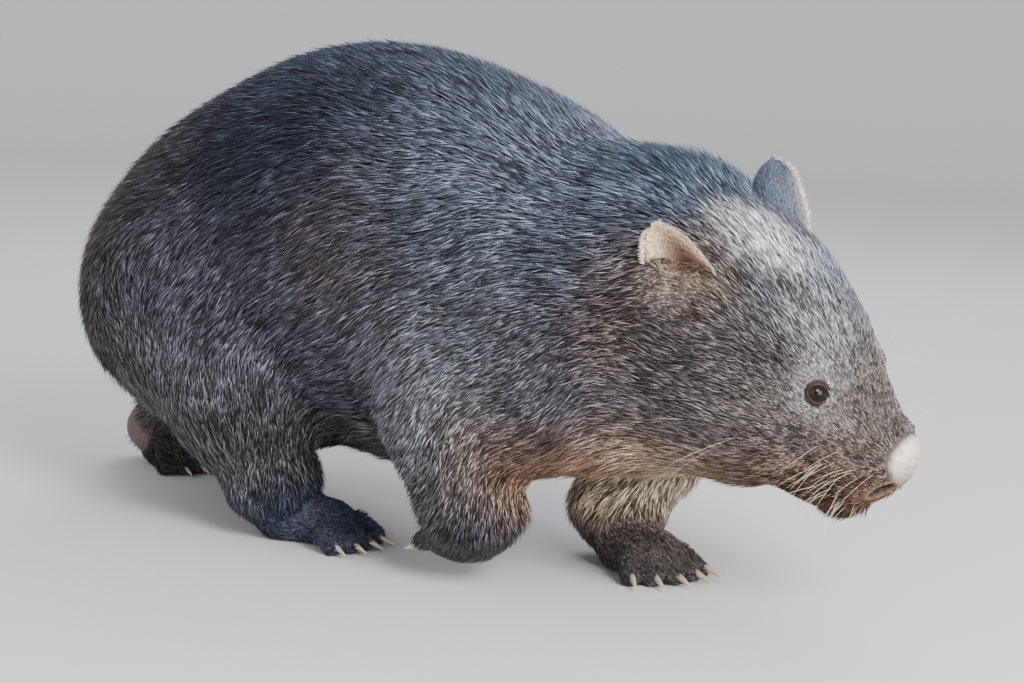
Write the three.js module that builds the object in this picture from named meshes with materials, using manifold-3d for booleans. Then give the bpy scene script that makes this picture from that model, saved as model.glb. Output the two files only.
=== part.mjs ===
// A common wombat walking on level ground, life-size, in millimetres.
// +X is the way it faces, +Y is its left side and +Z is up. The body is one blended mass of
// muscle, fat and short coat, parted by thin cuts into the pieces that a person would name.
import * as THREE from "three";
import { mergeVertices } from "three/addons/utils/BufferGeometryUtils.js";
import Module from "manifold-3d";

const wasm = await Module();
wasm.setup();

// Gap kept between neighbours that touch
const GAP = 0.35;

// Trunk: barrel of rump, loin, ribs and chest, each a centre and its half lengths
const TRUNK = {
  rump: { centre: [-199, 0, 207], half: [152, 153, 153] },
  loin: { centre: [-53, 0, 256], half: [229, 166, 177] },
  ribs: { centre: [79, 0, 229], half: [198, 155, 153] },
  chest: { centre: [233, 2, 219], half: [113, 132, 124] },
};
const TRUNK_BLEND = 60;
const NECK = { rootRadius: 107, headRadius: 86, blend: 50 };

// Head: where the middle of the braincase lies, and how the head is turned, in degrees
const HEAD = { middle: [320, -14, 233], yaw: 6, pitch: 29, roll: 9, blend: 45 };
// Masses of the head, from the middle of the braincase: forward, left, up
const SKULL = { centre: [0, 0, -7], half: [98, 88, 76] };
const CHEEK = { centre: [31, 44, -40], half: [80, 50, 60], blend: 34 };
const MUZZLE = { from: [66, 0, -13], to: [138, 0, -25], fromRadius: 60, toRadius: 36, blend: 34 };
const LIP_PAD = { centre: [122, 25, -42], half: [38, 28, 27], blend: 20 };
const JAW = { from: [34, 0, -67], to: [128, 0, -67], fromRadius: 42, toRadius: 24, blend: 12 };

// Eyes: a place along the skull, the ball, and how far its middle is sunk
const EYE = { forward: 94, up: 15, radius: 12, sunk: 8.5, facets: 2 };
const LID = { rise: 0.4, radius: 2.2, halfOpen: 47, rings: 7, sides: 5 };

// Ears: upright leaf-shaped cups, leaning back and out
const EAR = { height: 62, width: 54, depth: 17, thickness: 3.4, sunk: 12, rows: 7, columns: 8 };
const EAR_SIDES = {
  left: { back: 29, rise: 0.7, lean: [-0.45, 0.15, 0.87], opening: [0.12, 0.99, -0.04] },
  right: { back: 38, rise: 0.4, lean: [-0.52, -0.55, 0.66], opening: [0.24, -0.97, -0.18] },
};

// Nose pad, nostrils and mouth
const NOSE = { top: -3, bottom: -39, width: 42, back: 130, front: 190, proud: 1.2 };
const NOSTRIL = { forward: 161, side: 12.5, up: -41, half: [10, 5, 4], splay: 38, droop: 20 };
const MOUTH = { back: 92, front: 147, lineUp: -62, cornerUp: -57, depth: 2.6, rings: 7, sides: 5 };

// Legs: joints from the shoulder or hip to the toes, each a place and a radius
const LEGS = {
  foreleg_left: [
    { at: [203, 79, 185], radius: 82 },
    { at: [178, 88, 115], radius: 55 },
    { at: [163, 62, 50], radius: 37 },
    { at: [186, 38, 24], radius: 27 },
  ],
  foreleg_right: [
    { at: [186, -92, 183], radius: 84 },
    { at: [118, -113, 139], radius: 63 },
    { at: [128, -104, 72], radius: 42 },
    { at: [120, -96, 50], radius: 30 },
  ],
  hindleg_left: [
    { at: [-210, 70, 193], radius: 100 },
    { at: [-255, 75, 107], radius: 70 },
    { at: [-336, 55, 76], radius: 37 },
    { at: [-388, 50, 36], radius: 28 },
  ],
  hindleg_right: [
    { at: [-197, -84, 199], radius: 107 },
    { at: [-122, -109, 136], radius: 74 },
    { at: [-93, -99, 55], radius: 38 },
    { at: [-84, -93, 25], radius: 26 },
  ],
};
const LEG = { jointBlend: 22, bodyBlend: 40, seamOut: 4, outerReach: 30 };
// Inner side of each leg: how far from the middle plane, at the ground and per unit of height
const INNER_SIDE = { atGround: -16, slope: 0.26 };

// Feet: palm or sole, toes fanned from its front, and where the foot is parted from the leg
const FEET = {
  forepaw_left: {
    leg: "foreleg_left", spine: [[163, 61, 68], [172, 50, 36], [218, 37, 20]],
    cut: { through: [165, 64, 60], facing: [0.1, -0.2, -0.97] },
    palm: [208, 34, 20], half: [35, 31, 22], heading: -20, pitch: 0, palmDrop: 12,
    toes: 5, toeLength: 26, toeRadius: 9, toeRoot: 16, spread: 13, clawLength: 23, clawRadius: 4.3, bareToes: 0,
  },
  forepaw_right: {
    leg: "foreleg_right", spine: [[126, -103, 80], [122, -98, 52], [104, -94, 40]],
    cut: { through: [126, -104, 72], facing: [0, 0, -1] },
    palm: [114, -96, 46], half: [32, 31, 24], heading: 0, pitch: 136, palmDrop: 6,
    toes: 5, toeLength: 17, toeRadius: 9, toeRoot: 12, spread: 9, clawLength: 17, clawRadius: 4.3, bareToes: 0,
  },
  hindfoot_left: {
    leg: "hindleg_left", spine: [[-326, 57, 76], [-374, 50, 46], [-352, 46, 20]],
    cut: { through: [-326, 58, 74], facing: [-0.85, -0.15, -0.5] },
    palm: [-358, 46, 19], half: [34, 26, 22], heading: -8, pitch: 0, palmDrop: 12,
    toes: 5, toeLength: 24, toeRadius: 8.5, toeRoot: 18, spread: 10, clawLength: 19, clawRadius: 3.9, bareToes: 1,
  },
  hindfoot_right: {
    leg: "hindleg_right", spine: [[-94, -98, 68], [-82, -93, 36], [-34, -86, 20]],
    cut: { through: [-98, -97, 58], facing: [0.2, 0, -1] },
    palm: [-56, -83, 20], half: [44, 26, 22], heading: 6, pitch: 0, palmDrop: 12,
    toes: 5, toeLength: 24, toeRadius: 8.5, toeRoot: 28, spread: 10, clawLength: 19, clawRadius: 3.9, bareToes: 1,
  },
};
const FOOT_BLEND = 12;

// Tail: a stub at the back of the rump
const TAIL = { root: [-324, 0, 168], tip: [-365, 0, 134], rootRadius: 15, tipRadius: 8, rings: 4, sides: 9 };

// Cuts across the body: a point on the plane and the way that it faces
const SHOULDER_CUT = { through: [238, 0, 330], facing: [0.97, 0, -0.24] };
const NAPE_CUT = { through: [291, 0, 297], facing: [0.93, -0.05, -0.37] };

// Spine that each skin is spun round, the spacing of its rings, the rings of its ends and its sectors
const SKINS = {
  core: {
    spine: [[-222, 0, 212], [-60, 0, 250], [110, 0, 235], [240, 0, 240], [330, -14, 238]],
    spacing: 30, capRings: 5, sectors: 30,
  },
  head: { spine: [[-78, 0, -8], [40, 0, -24], [122, 0, -32]], spacing: 14, capRings: 6, sectors: 28 },
  leg: { spacing: 22, capRings: 4, sectors: 18 },
  foot: { spacing: 13, capRings: 4, sectors: 14 },
};
// How far a part's own skin may swell where it fillets into its neighbours
const FILLET = 12;

// Colours of the coat and the bare parts
const COLOURS = {
  back: 0x6a676b, flank: 0x6f6459, face: 0x7c7166, limb: 0x5d534b, ear: 0xb79f82, eye: 0x24160f,
  nose: 0xe0d3ba, claw: 0xd8c9a8,
};

// Vectors as plain triples
const add = (a, b) => [a[0] + b[0], a[1] + b[1], a[2] + b[2]];
const subtract = (a, b) => [a[0] - b[0], a[1] - b[1], a[2] - b[2]];
const scale = (a, k) => [a[0] * k, a[1] * k, a[2] * k];
const dot = (a, b) => a[0] * b[0] + a[1] * b[1] + a[2] * b[2];
const cross = (a, b) => [a[1] * b[2] - a[2] * b[1], a[2] * b[0] - a[0] * b[2], a[0] * b[1] - a[1] * b[0]];
const unit = (a) => scale(a, 1 / Math.hypot(...a));
const radians = (degrees) => (degrees * Math.PI) / 180;

// Signed distance to an upright ellipsoid, close to true near its surface
function ellipsoid(point, centre, half) {
  const q = subtract(point, centre);
  const k0 = Math.hypot(q[0] / half[0], q[1] / half[1], q[2] / half[2]);
  const k1 = Math.hypot(q[0] / half[0] ** 2, q[1] / half[1] ** 2, q[2] / half[2] ** 2);
  return (k0 * (k0 - 1)) / Math.max(k1, 1e-9);
}

// Signed distance to a limb that tapers from one ball to another
function taper(point, from, to, fromRadius, toRadius) {
  const axis = subtract(to, from);
  const t = Math.min(1, Math.max(0, dot(subtract(point, from), axis) / dot(axis, axis)));
  return Math.hypot(...subtract(point, add(from, scale(axis, t)))) - (fromRadius + (toRadius - fromRadius) * t);
}

// Joins two masses with a fillet
function blend(a, b, width) {
  const h = Math.min(1, Math.max(0, 0.5 + (0.5 * (b - a)) / width));
  return b + (a - b) * h - width * h * (1 - h);
}

// The head's own directions: forward to the nose, left and up
function headDirections() {
  const [yaw, pitch, roll] = [radians(HEAD.yaw), radians(HEAD.pitch), radians(HEAD.roll)];
  const forward = [Math.cos(yaw) * Math.cos(pitch), Math.sin(yaw) * Math.cos(pitch), -Math.sin(pitch)];
  const level = [-Math.sin(yaw), Math.cos(yaw), 0];
  const upright = cross(forward, level);
  const left = add(scale(level, Math.cos(roll)), scale(upright, Math.sin(roll)));
  const up = add(scale(level, -Math.sin(roll)), scale(upright, Math.cos(roll)));
  return { forward, left, up };
}

const head = headDirections();

function fromHead([forward, left, up]) {
  const offset = add(add(scale(head.forward, forward), scale(head.left, left)), scale(head.up, up));
  return add(HEAD.middle, offset);
}

function toHead(point) {
  const q = subtract(point, HEAD.middle);
  return [dot(q, head.forward), dot(q, head.left), dot(q, head.up)];
}

function headWay([forward, left, up]) {
  return unit(subtract(fromHead([forward, left, up]), HEAD.middle));
}

function headMass(point) {
  const q = toHead(point);
  const mirrored = [q[0], Math.abs(q[1]), q[2]];
  let d = ellipsoid(q, SKULL.centre, SKULL.half);
  d = blend(d, ellipsoid(mirrored, CHEEK.centre, CHEEK.half), CHEEK.blend);
  d = blend(d, taper(q, MUZZLE.from, MUZZLE.to, MUZZLE.fromRadius, MUZZLE.toRadius), MUZZLE.blend);
  d = blend(d, ellipsoid(mirrored, LIP_PAD.centre, LIP_PAD.half), LIP_PAD.blend);
  return blend(d, taper(q, JAW.from, JAW.to, JAW.fromRadius, JAW.toRadius), JAW.blend);
}

function trunkMass(point) {
  const masses = Object.values(TRUNK).map(({ centre, half }) => ellipsoid(point, centre, half));
  return masses.reduce((sum, next) => blend(sum, next, TRUNK_BLEND));
}

function neckMass(point) {
  const root = add(TRUNK.chest.centre, [10, 0, 20]);
  const nape = add(HEAD.middle, [-25, 0, 0]);
  return taper(point, root, nape, NECK.rootRadius, NECK.headRadius);
}

function legMass(point, joints) {
  let d = Infinity;
  for (let i = 1; i < joints.length; i++) {
    const bone = taper(point, joints[i - 1].at, joints[i].at, joints[i - 1].radius, joints[i].radius);
    d = i === 1 ? bone : blend(d, bone, LEG.jointBlend);
  }
  return d;
}

// A foot's own directions: forward along the sole, left, and up out of its back
function footDirections({ heading, pitch }) {
  const [turn, dip] = [radians(heading), radians(pitch)];
  const forward = [Math.cos(turn) * Math.cos(dip), Math.sin(turn) * Math.cos(dip), -Math.sin(dip)];
  const left = [-Math.sin(turn), Math.cos(turn), 0];
  return { forward, left, up: cross(forward, left) };
}

// The toes of a foot: from a root in the palm's front to a ball behind the claw
function toesOf(foot) {
  const { forward, left, up } = footDirections(foot);
  return Array.from({ length: foot.toes }, (_, i) => {
    const side = i - (foot.toes - 1) / 2;
    const turn = radians(side * foot.spread);
    const way = add(scale(forward, Math.cos(turn)), scale(left, Math.sin(turn)));
    const length = foot.toeLength * (1 - 0.09 * side * side);
    const inPalm = add(scale(way, foot.toeRoot), scale(left, side * foot.half[1] * 0.34));
    const root = add(foot.palm, add(inPalm, scale(up, -0.3 * foot.palmDrop)));
    const end = add(root, add(scale(way, length), scale(up, -0.7 * foot.palmDrop)));
    return { way, up, root, end };
  });
}

function palmMass(point, foot) {
  const { forward, left, up } = footDirections(foot);
  const q = subtract(point, foot.palm);
  return ellipsoid([dot(q, forward), dot(q, left), dot(q, up)], [0, 0, 0], foot.half);
}

for (const foot of Object.values(FEET)) {
  foot.toeList = toesOf(foot);
}

// Everything but the feet
function bodyMass(point) {
  let d = blend(trunkMass(point), neckMass(point), NECK.blend);
  d = blend(d, headMass(point), HEAD.blend);
  for (const joints of Object.values(LEGS)) {
    d = blend(d, legMass(point, joints), LEG.bodyBlend);
  }
  return d;
}

// Stations of a skin along a spine: where the rays start, the way along, and how far they tilt.
// Both ends close with a fan of tilted rays.
function stationsAlong(joints, spacing, capRings) {
  const ways = joints.slice(1).map((joint, i) => unit(subtract(joint, joints[i])));
  const wayAt = (i) => unit(add(ways[Math.max(0, i - 1)], ways[Math.min(ways.length - 1, i)]));
  const stations = [];
  const cap = (at, way, from, to) => {
    for (let n = 1; n < capRings; n++) {
      stations.push({ at, way, tilt: (Math.PI / 2) * (from + ((to - from) * n) / capRings) });
    }
  };
  cap(joints[0], wayAt(0), -1, 0);
  for (let i = 1; i < joints.length; i++) {
    const steps = Math.max(1, Math.round(Math.hypot(...subtract(joints[i], joints[i - 1])) / spacing));
    for (let n = i === 1 ? 0 : 1; n <= steps; n++) {
      const t = n / steps;
      const at = add(scale(joints[i - 1], 1 - t), scale(joints[i], t));
      stations.push({ at, way: unit(add(scale(wayAt(i - 1), 1 - t), scale(wayAt(i), t))), tilt: 0 });
    }
  }
  cap(joints[joints.length - 1], wayAt(joints.length - 1), 0, 1);
  return stations;
}

// Where a ray from inside a mass first leaves it
function exitPoint(mass, start, way) {
  const STRIDE = 5;
  let inside = 0;
  while (mass(add(start, scale(way, inside + STRIDE))) < 0) inside += STRIDE;
  let outside = inside + STRIDE;
  for (let n = 0; n < 12; n++) {
    const middle = (inside + outside) / 2;
    if (mass(add(start, scale(way, middle))) < 0) inside = middle;
    else outside = middle;
  }
  return add(start, scale(way, inside));
}

// A closed skin round a mass: rays leave the spine ring by ring and end at the surface
function skinGeometry(mass, stations, sectors, hint) {
  const positions = [];
  for (const { at, way, tilt } of stations) {
    const across = unit(cross(hint, way));
    const upright = cross(way, across);
    for (let k = 0; k < sectors; k++) {
      const turn = (2 * Math.PI * k) / sectors;
      const flat = add(scale(across, Math.cos(turn)), scale(upright, Math.sin(turn)));
      const ray = add(scale(flat, Math.cos(tilt)), scale(way, Math.sin(tilt)));
      positions.push(...exitPoint(mass, at, ray));
    }
  }
  const first = stations[0];
  const last = stations[stations.length - 1];
  positions.push(...exitPoint(mass, first.at, scale(first.way, -1)), ...exitPoint(mass, last.at, last.way));
  return ringGeometry(positions, stations.length, sectors);
}

// Joins rings of points, and a closing point at each end, into one closed surface
function ringGeometry(positions, rings, sectors) {
  const faces = [];
  const pole = rings * sectors;
  for (let k = 0; k < sectors; k++) {
    const next = (k + 1) % sectors;
    for (let i = 0; i < rings - 1; i++) {
      const [a, b] = [i * sectors + k, i * sectors + next];
      faces.push(a, b, b + sectors, a, b + sectors, a + sectors);
    }
    const end = (rings - 1) * sectors;
    faces.push(pole, next, k, pole + 1, end + k, end + next);
  }
  const geometry = new THREE.BufferGeometry();
  geometry.setAttribute("position", new THREE.Float32BufferAttribute(positions, 3));
  geometry.setIndex(faces);
  return geometry;
}

function solidOf(geometry) {
  const bare = geometry.clone();
  bare.deleteAttribute("normal");
  bare.deleteAttribute("uv");
  const merged = mergeVertices(bare, 1e-4);
  const vertProperties = Float32Array.from(merged.attributes.position.array);
  const triVerts = Uint32Array.from(merged.index.array);
  return new wasm.Manifold(new wasm.Mesh({ numProp: 3, vertProperties, triVerts }));
}

// Keeps the largest closed surface of a solid, as a geometry
function geometryOf(solid) {
  const pieces = solid.decompose();
  const largest = pieces.reduce((best, piece) => (piece.volume() > best.volume() ? piece : best));
  const mesh = largest.getMesh();
  const geometry = new THREE.BufferGeometry();
  geometry.setAttribute("position", new THREE.Float32BufferAttribute(Array.from(mesh.vertProperties), 3));
  geometry.setIndex(Array.from(mesh.triVerts));
  return geometry;
}

// A closed tube through points, each with its own two half widths across
function tubeGeometry(points, halfWidths, sides, hint = [0, 0, 1]) {
  const positions = [];
  points.forEach((point, i) => {
    const before = points[Math.max(0, i - 1)];
    const after = points[Math.min(points.length - 1, i + 1)];
    const along = unit(subtract(after, before));
    const across = unit(cross(hint, along));
    const upright = cross(along, across);
    const [wide, tall] = halfWidths[i];
    for (let k = 0; k < sides; k++) {
      const turn = (2 * Math.PI * k) / sides;
      const rim = add(scale(across, wide * Math.cos(turn)), scale(upright, tall * Math.sin(turn)));
      positions.push(...add(point, rim));
    }
  });
  positions.push(...points[0], ...points[points.length - 1]);
  return ringGeometry(positions, points.length, sides);
}

// A block that fills the space on the far side of a plane
function halfSpace(through, facing, size = 1600) {
  const block = new THREE.BoxGeometry(size, size, size);
  block.translate(size / 2, 0, 0);
  const way = new THREE.Vector3(...unit(facing));
  block.applyQuaternion(new THREE.Quaternion().setFromUnitVectors(new THREE.Vector3(1, 0, 0), way));
  block.translate(...through);
  return solidOf(block);
}

const shifted = (through, facing, distance) => add(through, scale(unit(facing), distance));
const belowFloor = halfSpace([0, 0, 0], [0, 0, -1]);

// Follows a straight way out of a mass until it meets the surface
function surfaceAlong(mass, start, way) {
  let point = start;
  for (let i = 0; i < 60; i++) {
    point = add(point, scale(way, -0.8 * mass(point)));
  }
  return point;
}

function outwardAt(mass, point, step = 1) {
  const slope = [0, 1, 2].map((n) => {
    const shift = [0, 0, 0];
    shift[n] = step;
    return mass(add(point, shift)) - mass(subtract(point, shift));
  });
  return unit(slope);
}

const group = new THREE.Group();
const MATERIALS = Object.fromEntries(
  Object.entries(COLOURS).map(([name, color]) => {
    const shiny = name === "eye" || name === "claw";
    return [name, new THREE.MeshStandardMaterial({ name, color, roughness: shiny ? 0.3 : 0.85, metalness: 0 })];
  }),
);

function place(name, geometry, material) {
  const mesh = new THREE.Mesh(geometry, MATERIALS[material]);
  mesh.name = name;
  group.add(mesh);
}

// The space of a leg, with a little extra all round: its own thickness seen from the side, from an
// inner plane straight out past the flank, so that the seam meets the coat squarely
function legSpace(name, extra) {
  const joints = LEGS[name];
  const side = name.endsWith("left") ? 1 : -1;
  const inward = unit([0, -side, INNER_SIDE.slope]);
  const inner = [0, side * INNER_SIDE.atGround, 0];
  const reach = LEG.seamOut + extra;
  return (point) => {
    let d = Infinity;
    for (let i = 1; i < joints.length; i++) {
      const [from, to] = [joints[i - 1], joints[i]];
      const outward = side * (point[1] - (from.at[1] + to.at[1]) / 2);
      const across = Math.min(0, outward) + Math.max(0, outward - from.radius - LEG.outerReach);
      const bone = taper(
        [point[0], across, point[2]], [from.at[0], 0, from.at[2]], [to.at[0], 0, to.at[2]], from.radius, to.radius,
      );
      d = i === 1 ? bone : blend(d, bone, LEG.jointBlend);
    }
    return Math.max(d - reach, dot(subtract(point, inner), inward) - extra);
  };
}

function legSkin(name, mass) {
  const joints = LEGS[name].map(({ at }) => at);
  const stations = stationsAlong(joints, SKINS.leg.spacing, SKINS.leg.capRings);
  return solidOf(skinGeometry(mass, stations, SKINS.leg.sectors, [1, 0, 0]));
}

const legRooms = Object.keys(LEGS).map((name) => legSkin(name, legSpace(name, GAP)));
const withoutLegs = (solid) => legRooms.reduce((rest, room) => rest.subtract(room), solid);

// Skin of the trunk and neck: the blended body, out to the fillets but not down into the legs
const coreMass = (point) => blend(blend(trunkMass(point), neckMass(point), NECK.blend), headMass(point), HEAD.blend);
const { spine: coreSpine, spacing: coreSpacing, capRings: coreCaps, sectors: coreSectors } = SKINS.core;
function coreSkin(extra) {
  const mass = (point) => Math.max(bodyMass(point), coreMass(point) - FILLET) - extra;
  return solidOf(skinGeometry(mass, stationsAlong(coreSpine, coreSpacing, coreCaps), coreSectors, [0, 0, 1]));
}

const coreSolid = coreSkin(0);

function makeTorso() {
  const barrel = coreSolid.subtract(halfSpace(SHOULDER_CUT.through, SHOULDER_CUT.facing));
  place("torso", geometryOf(withoutLegs(barrel).subtract(solidOf(tailGeometry(GAP)))), "back");
}

function tailGeometry(extra) {
  const rows = Array.from({ length: TAIL.rings }, (_, i) => i / (TAIL.rings - 1));
  const points = rows.map((t) => add(TAIL.root, scale(subtract(TAIL.tip, TAIL.root), t * (1 + extra / 40))));
  const widths = rows.map((t) => {
    const radius = TAIL.rootRadius + (TAIL.tipRadius - TAIL.rootRadius) * t ** 1.5 + extra;
    return [radius, radius];
  });
  return tubeGeometry(points, widths, TAIL.sides);
}

function makeTail() {
  place("tail", geometryOf(solidOf(tailGeometry(0))), "back");
}

function makeNeck() {
  const behind = halfSpace(shifted(SHOULDER_CUT.through, SHOULDER_CUT.facing, GAP), scale(SHOULDER_CUT.facing, -1));
  const ahead = halfSpace(NAPE_CUT.through, NAPE_CUT.facing);
  const throat = coreSolid.subtract(behind).subtract(ahead);
  place("neck", geometryOf(withoutLegs(throat)), "back");
}

// Middle of an eyeball, sunk straight into the side of the skull
function eyeMiddle(side) {
  const start = fromHead([EYE.forward, side * 30, EYE.up]);
  const surface = surfaceAlong(headMass, start, headWay([0, side, 0]));
  return add(surface, scale(outwardAt(headMass, surface), -EYE.sunk));
}

function ball(centre, radius, detail) {
  const geometry = new THREE.IcosahedronGeometry(radius, detail);
  geometry.translate(...centre);
  return solidOf(geometry);
}

// One lid: a soft rim that runs over the ball from the inner to the outer corner
function lidSolid(side, upper) {
  const middle = eyeMiddle(side);
  const out = outwardAt(headMass, add(middle, headWay([0, side * EYE.sunk, 0])));
  const along = unit(subtract(head.forward, scale(out, dot(head.forward, out))));
  const upright = scale(cross(along, out), side);
  const reach = EYE.radius + LID.rise;
  const turns = Array.from({ length: LID.rings }, (_, i) => -1 + (2 * i) / (LID.rings - 1));
  const points = turns.map((t) => {
    const open = radians(LID.halfOpen * (upper ? 1 : -0.85)) * (1 - t * t);
    const round = radians(62) * t;
    const way = add(add(scale(out, Math.cos(open) * Math.cos(round)), scale(along, Math.sin(round))),
      scale(upright, Math.sin(open) * Math.cos(round)));
    return add(middle, scale(unit(way), reach));
  });
  const widths = turns.map((t) => [LID.radius * (1.15 - 0.5 * t * t), LID.radius * (1.15 - 0.5 * t * t)]);
  return solidOf(tubeGeometry(points, widths, LID.sides, out));
}

// Bare shield of the nose, seen from the front, as a block along the head
function noseBlock(extra) {
  const half = NOSE.width / 2 + extra;
  const [top, bottom] = [NOSE.top + extra, NOSE.bottom - extra];
  const middle = (top + bottom) / 2;
  const shape = new THREE.Shape();
  shape.moveTo(-half * 0.42, bottom);
  shape.lineTo(half * 0.42, bottom);
  shape.quadraticCurveTo(half * 0.95, bottom + 2, half, middle);
  shape.quadraticCurveTo(half * 0.95, top, 0, top);
  shape.quadraticCurveTo(-half * 0.95, top, -half, middle);
  shape.quadraticCurveTo(-half * 0.95, bottom + 2, -half * 0.42, bottom);
  const block = new THREE.ExtrudeGeometry(shape, {
    depth: NOSE.front - NOSE.back + extra, steps: 1, curveSegments: 4, bevelEnabled: false,
  });
  const start = fromHead([NOSE.back - extra, 0, 0]);
  const basis = new THREE.Matrix4().makeBasis(
    new THREE.Vector3(...head.left), new THREE.Vector3(...head.up), new THREE.Vector3(...head.forward),
  );
  block.applyMatrix4(basis);
  block.translate(...start);
  return solidOf(block);
}

function nostrilSolid(side) {
  const hole = new THREE.IcosahedronGeometry(1, 1);
  hole.scale(...NOSTRIL.half);
  hole.rotateY(radians(NOSTRIL.droop));
  hole.rotateZ(radians(-side * NOSTRIL.splay));
  const basis = new THREE.Matrix4().makeBasis(
    new THREE.Vector3(...head.forward), new THREE.Vector3(...head.left), new THREE.Vector3(...head.up),
  );
  hole.applyMatrix4(basis);
  hole.translate(...fromHead([NOSTRIL.forward, side * NOSTRIL.side, NOSTRIL.up]));
  return solidOf(hole);
}

// The line of the mouth: a groove round the muzzle from one corner to the other
function mouthSolid() {
  const turns = Array.from({ length: 2 * MOUTH.rings + 1 }, (_, i) => i / MOUTH.rings - 1);
  const points = turns.map((t) => {
    const back = 1 - Math.cos((Math.PI / 2) * t);
    const forward = MOUTH.front - 30 - (MOUTH.front - 30 - MOUTH.back) * back;
    const up = MOUTH.lineUp + (MOUTH.cornerUp - MOUTH.lineUp) * t * t;
    const turn = (Math.PI / 2) * t;
    const way = headWay([Math.cos(turn), Math.sin(turn), 0]);
    return surfaceAlong(headMass, fromHead([forward, 20 * Math.sin(turn), up]), way);
  });
  const widths = turns.map((t) => {
    const size = MOUTH.depth * (1.15 - 0.6 * t ** 4);
    return [size, size];
  });
  return solidOf(tubeGeometry(points, widths, MOUTH.sides, head.up));
}

// Skin of the head, swollen by a small extra where something has to fit round it
function headSkin(extra) {
  const spine = SKINS.head.spine.map(fromHead);
  const stations = stationsAlong(spine, SKINS.head.spacing, SKINS.head.capRings);
  const ownMass = (point) => blend(neckMass(point), headMass(point), HEAD.blend);
  const mass = (point) => Math.max(bodyMass(point), ownMass(point) - FILLET) - extra;
  return solidOf(skinGeometry(mass, stations, SKINS.head.sectors, head.up));
}

function makeHead() {
  const behind = halfSpace(shifted(NAPE_CUT.through, NAPE_CUT.facing, GAP), scale(NAPE_CUT.facing, -1));
  let skull = headSkin(0).subtract(behind);
  for (const side of [-1, 1]) {
    skull = skull.add(lidSolid(side, true)).add(lidSolid(side, false));
    skull = skull.subtract(ball(eyeMiddle(side), EYE.radius + GAP, EYE.facets));
    skull = skull.subtract(nostrilSolid(side));
  }
  skull = withoutLegs(skull.subtract(mouthSolid()).subtract(noseBlock(GAP)));
  place("head", geometryOf(skull), "face");
}

function makeNosePad() {
  let pad = headSkin(NOSE.proud).intersect(noseBlock(0));
  for (const side of [-1, 1]) {
    pad = pad.subtract(nostrilSolid(side));
  }
  place("nose_pad", geometryOf(pad), "nose");
}

function makeEye(name, side) {
  place(name, geometryOf(ball(eyeMiddle(side), EYE.radius, EYE.facets)), "eye");
}

// An ear is a thin leaf curled round its long axis, closed at the tip and open to the side
function earGeometry(sideName) {
  const side = sideName === "left" ? 1 : -1;
  const { back, rise, lean, opening } = EAR_SIDES[sideName];
  const up = headWay(lean);
  const facing = headWay(opening);
  const out = unit(subtract(facing, scale(up, dot(facing, up))));
  const across = cross(up, out);
  const outwards = headWay([0, side * Math.sqrt(1 - rise ** 2), rise]);
  const root = surfaceAlong(headMass, fromHead([-back, side * 30, 20]), outwards);
  const base = add(root, scale(up, -EAR.sunk));
  const leaf = (u, v, behind) => {
    const narrow = (1 - v ** 2.4) ** 0.62 * (0.86 + 0.14 * Math.sin(Math.PI * Math.min(1, 1.4 * v)));
    const half = 0.5 * EAR.width * narrow;
    const curl = EAR.depth * (1 - 0.45 * v) * narrow;
    const skin = behind ? EAR.thickness * (1 - 0.45 * Math.abs(u)) * (1 - 0.3 * v) : 0;
    const bow = curl * (1 - u * u) + skin - 0.35 * curl;
    const height = v * (EAR.height + EAR.sunk);
    return add(base, add(scale(up, height), add(scale(across, half * u), scale(out, -bow))));
  };
  const rows = EAR.rows;
  const columns = EAR.columns;
  const positions = [];
  for (const behind of [false, true]) {
    for (let i = 0; i <= rows; i++) {
      for (let j = 0; j <= columns; j++) {
        const v = 0.985 * Math.sin((Math.PI / 2) * (i / rows));
        positions.push(...leaf((2 * j) / columns - 1, v, behind));
      }
    }
  }
  const at = (behind, i, j) => (behind ? (rows + 1) * (columns + 1) : 0) + i * (columns + 1) + j;
  const faces = [];
  const quad = (a, b, c, d) => faces.push(a, c, b, a, d, c);
  for (let i = 0; i < rows; i++) {
    for (let j = 0; j < columns; j++) {
      quad(at(false, i, j), at(false, i + 1, j), at(false, i + 1, j + 1), at(false, i, j + 1));
      quad(at(true, i, j), at(true, i, j + 1), at(true, i + 1, j + 1), at(true, i + 1, j));
    }
    quad(at(false, i, 0), at(true, i, 0), at(true, i + 1, 0), at(false, i + 1, 0));
    quad(at(false, i, columns), at(false, i + 1, columns), at(true, i + 1, columns), at(true, i, columns));
  }
  for (let j = 0; j < columns; j++) {
    quad(at(false, 0, j), at(false, 0, j + 1), at(true, 0, j + 1), at(true, 0, j));
    quad(at(false, rows, j), at(true, rows, j), at(true, rows, j + 1), at(false, rows, j + 1));
  }
  const geometry = new THREE.BufferGeometry();
  geometry.setAttribute("position", new THREE.Float32BufferAttribute(positions, 3));
  geometry.setIndex(faces);
  return geometry;
}

function makeEar(name, sideName, room) {
  place(name, geometryOf(solidOf(earGeometry(sideName)).subtract(room)), "ear");
}

function makeLeg(name) {
  const { cut } = Object.values(FEET).find(({ leg }) => leg === name);
  const wideSpace = legSpace(name, 2 * SKINS.leg.spacing);
  const limb = legSkin(name, (point) => Math.max(bodyMass(point), wideSpace(point)));
  const inSpace = limb.intersect(legSkin(name, legSpace(name, 0)));
  place(name, geometryOf(inSpace.subtract(halfSpace(cut.through, cut.facing)).subtract(belowFloor)), "limb");
}

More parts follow.
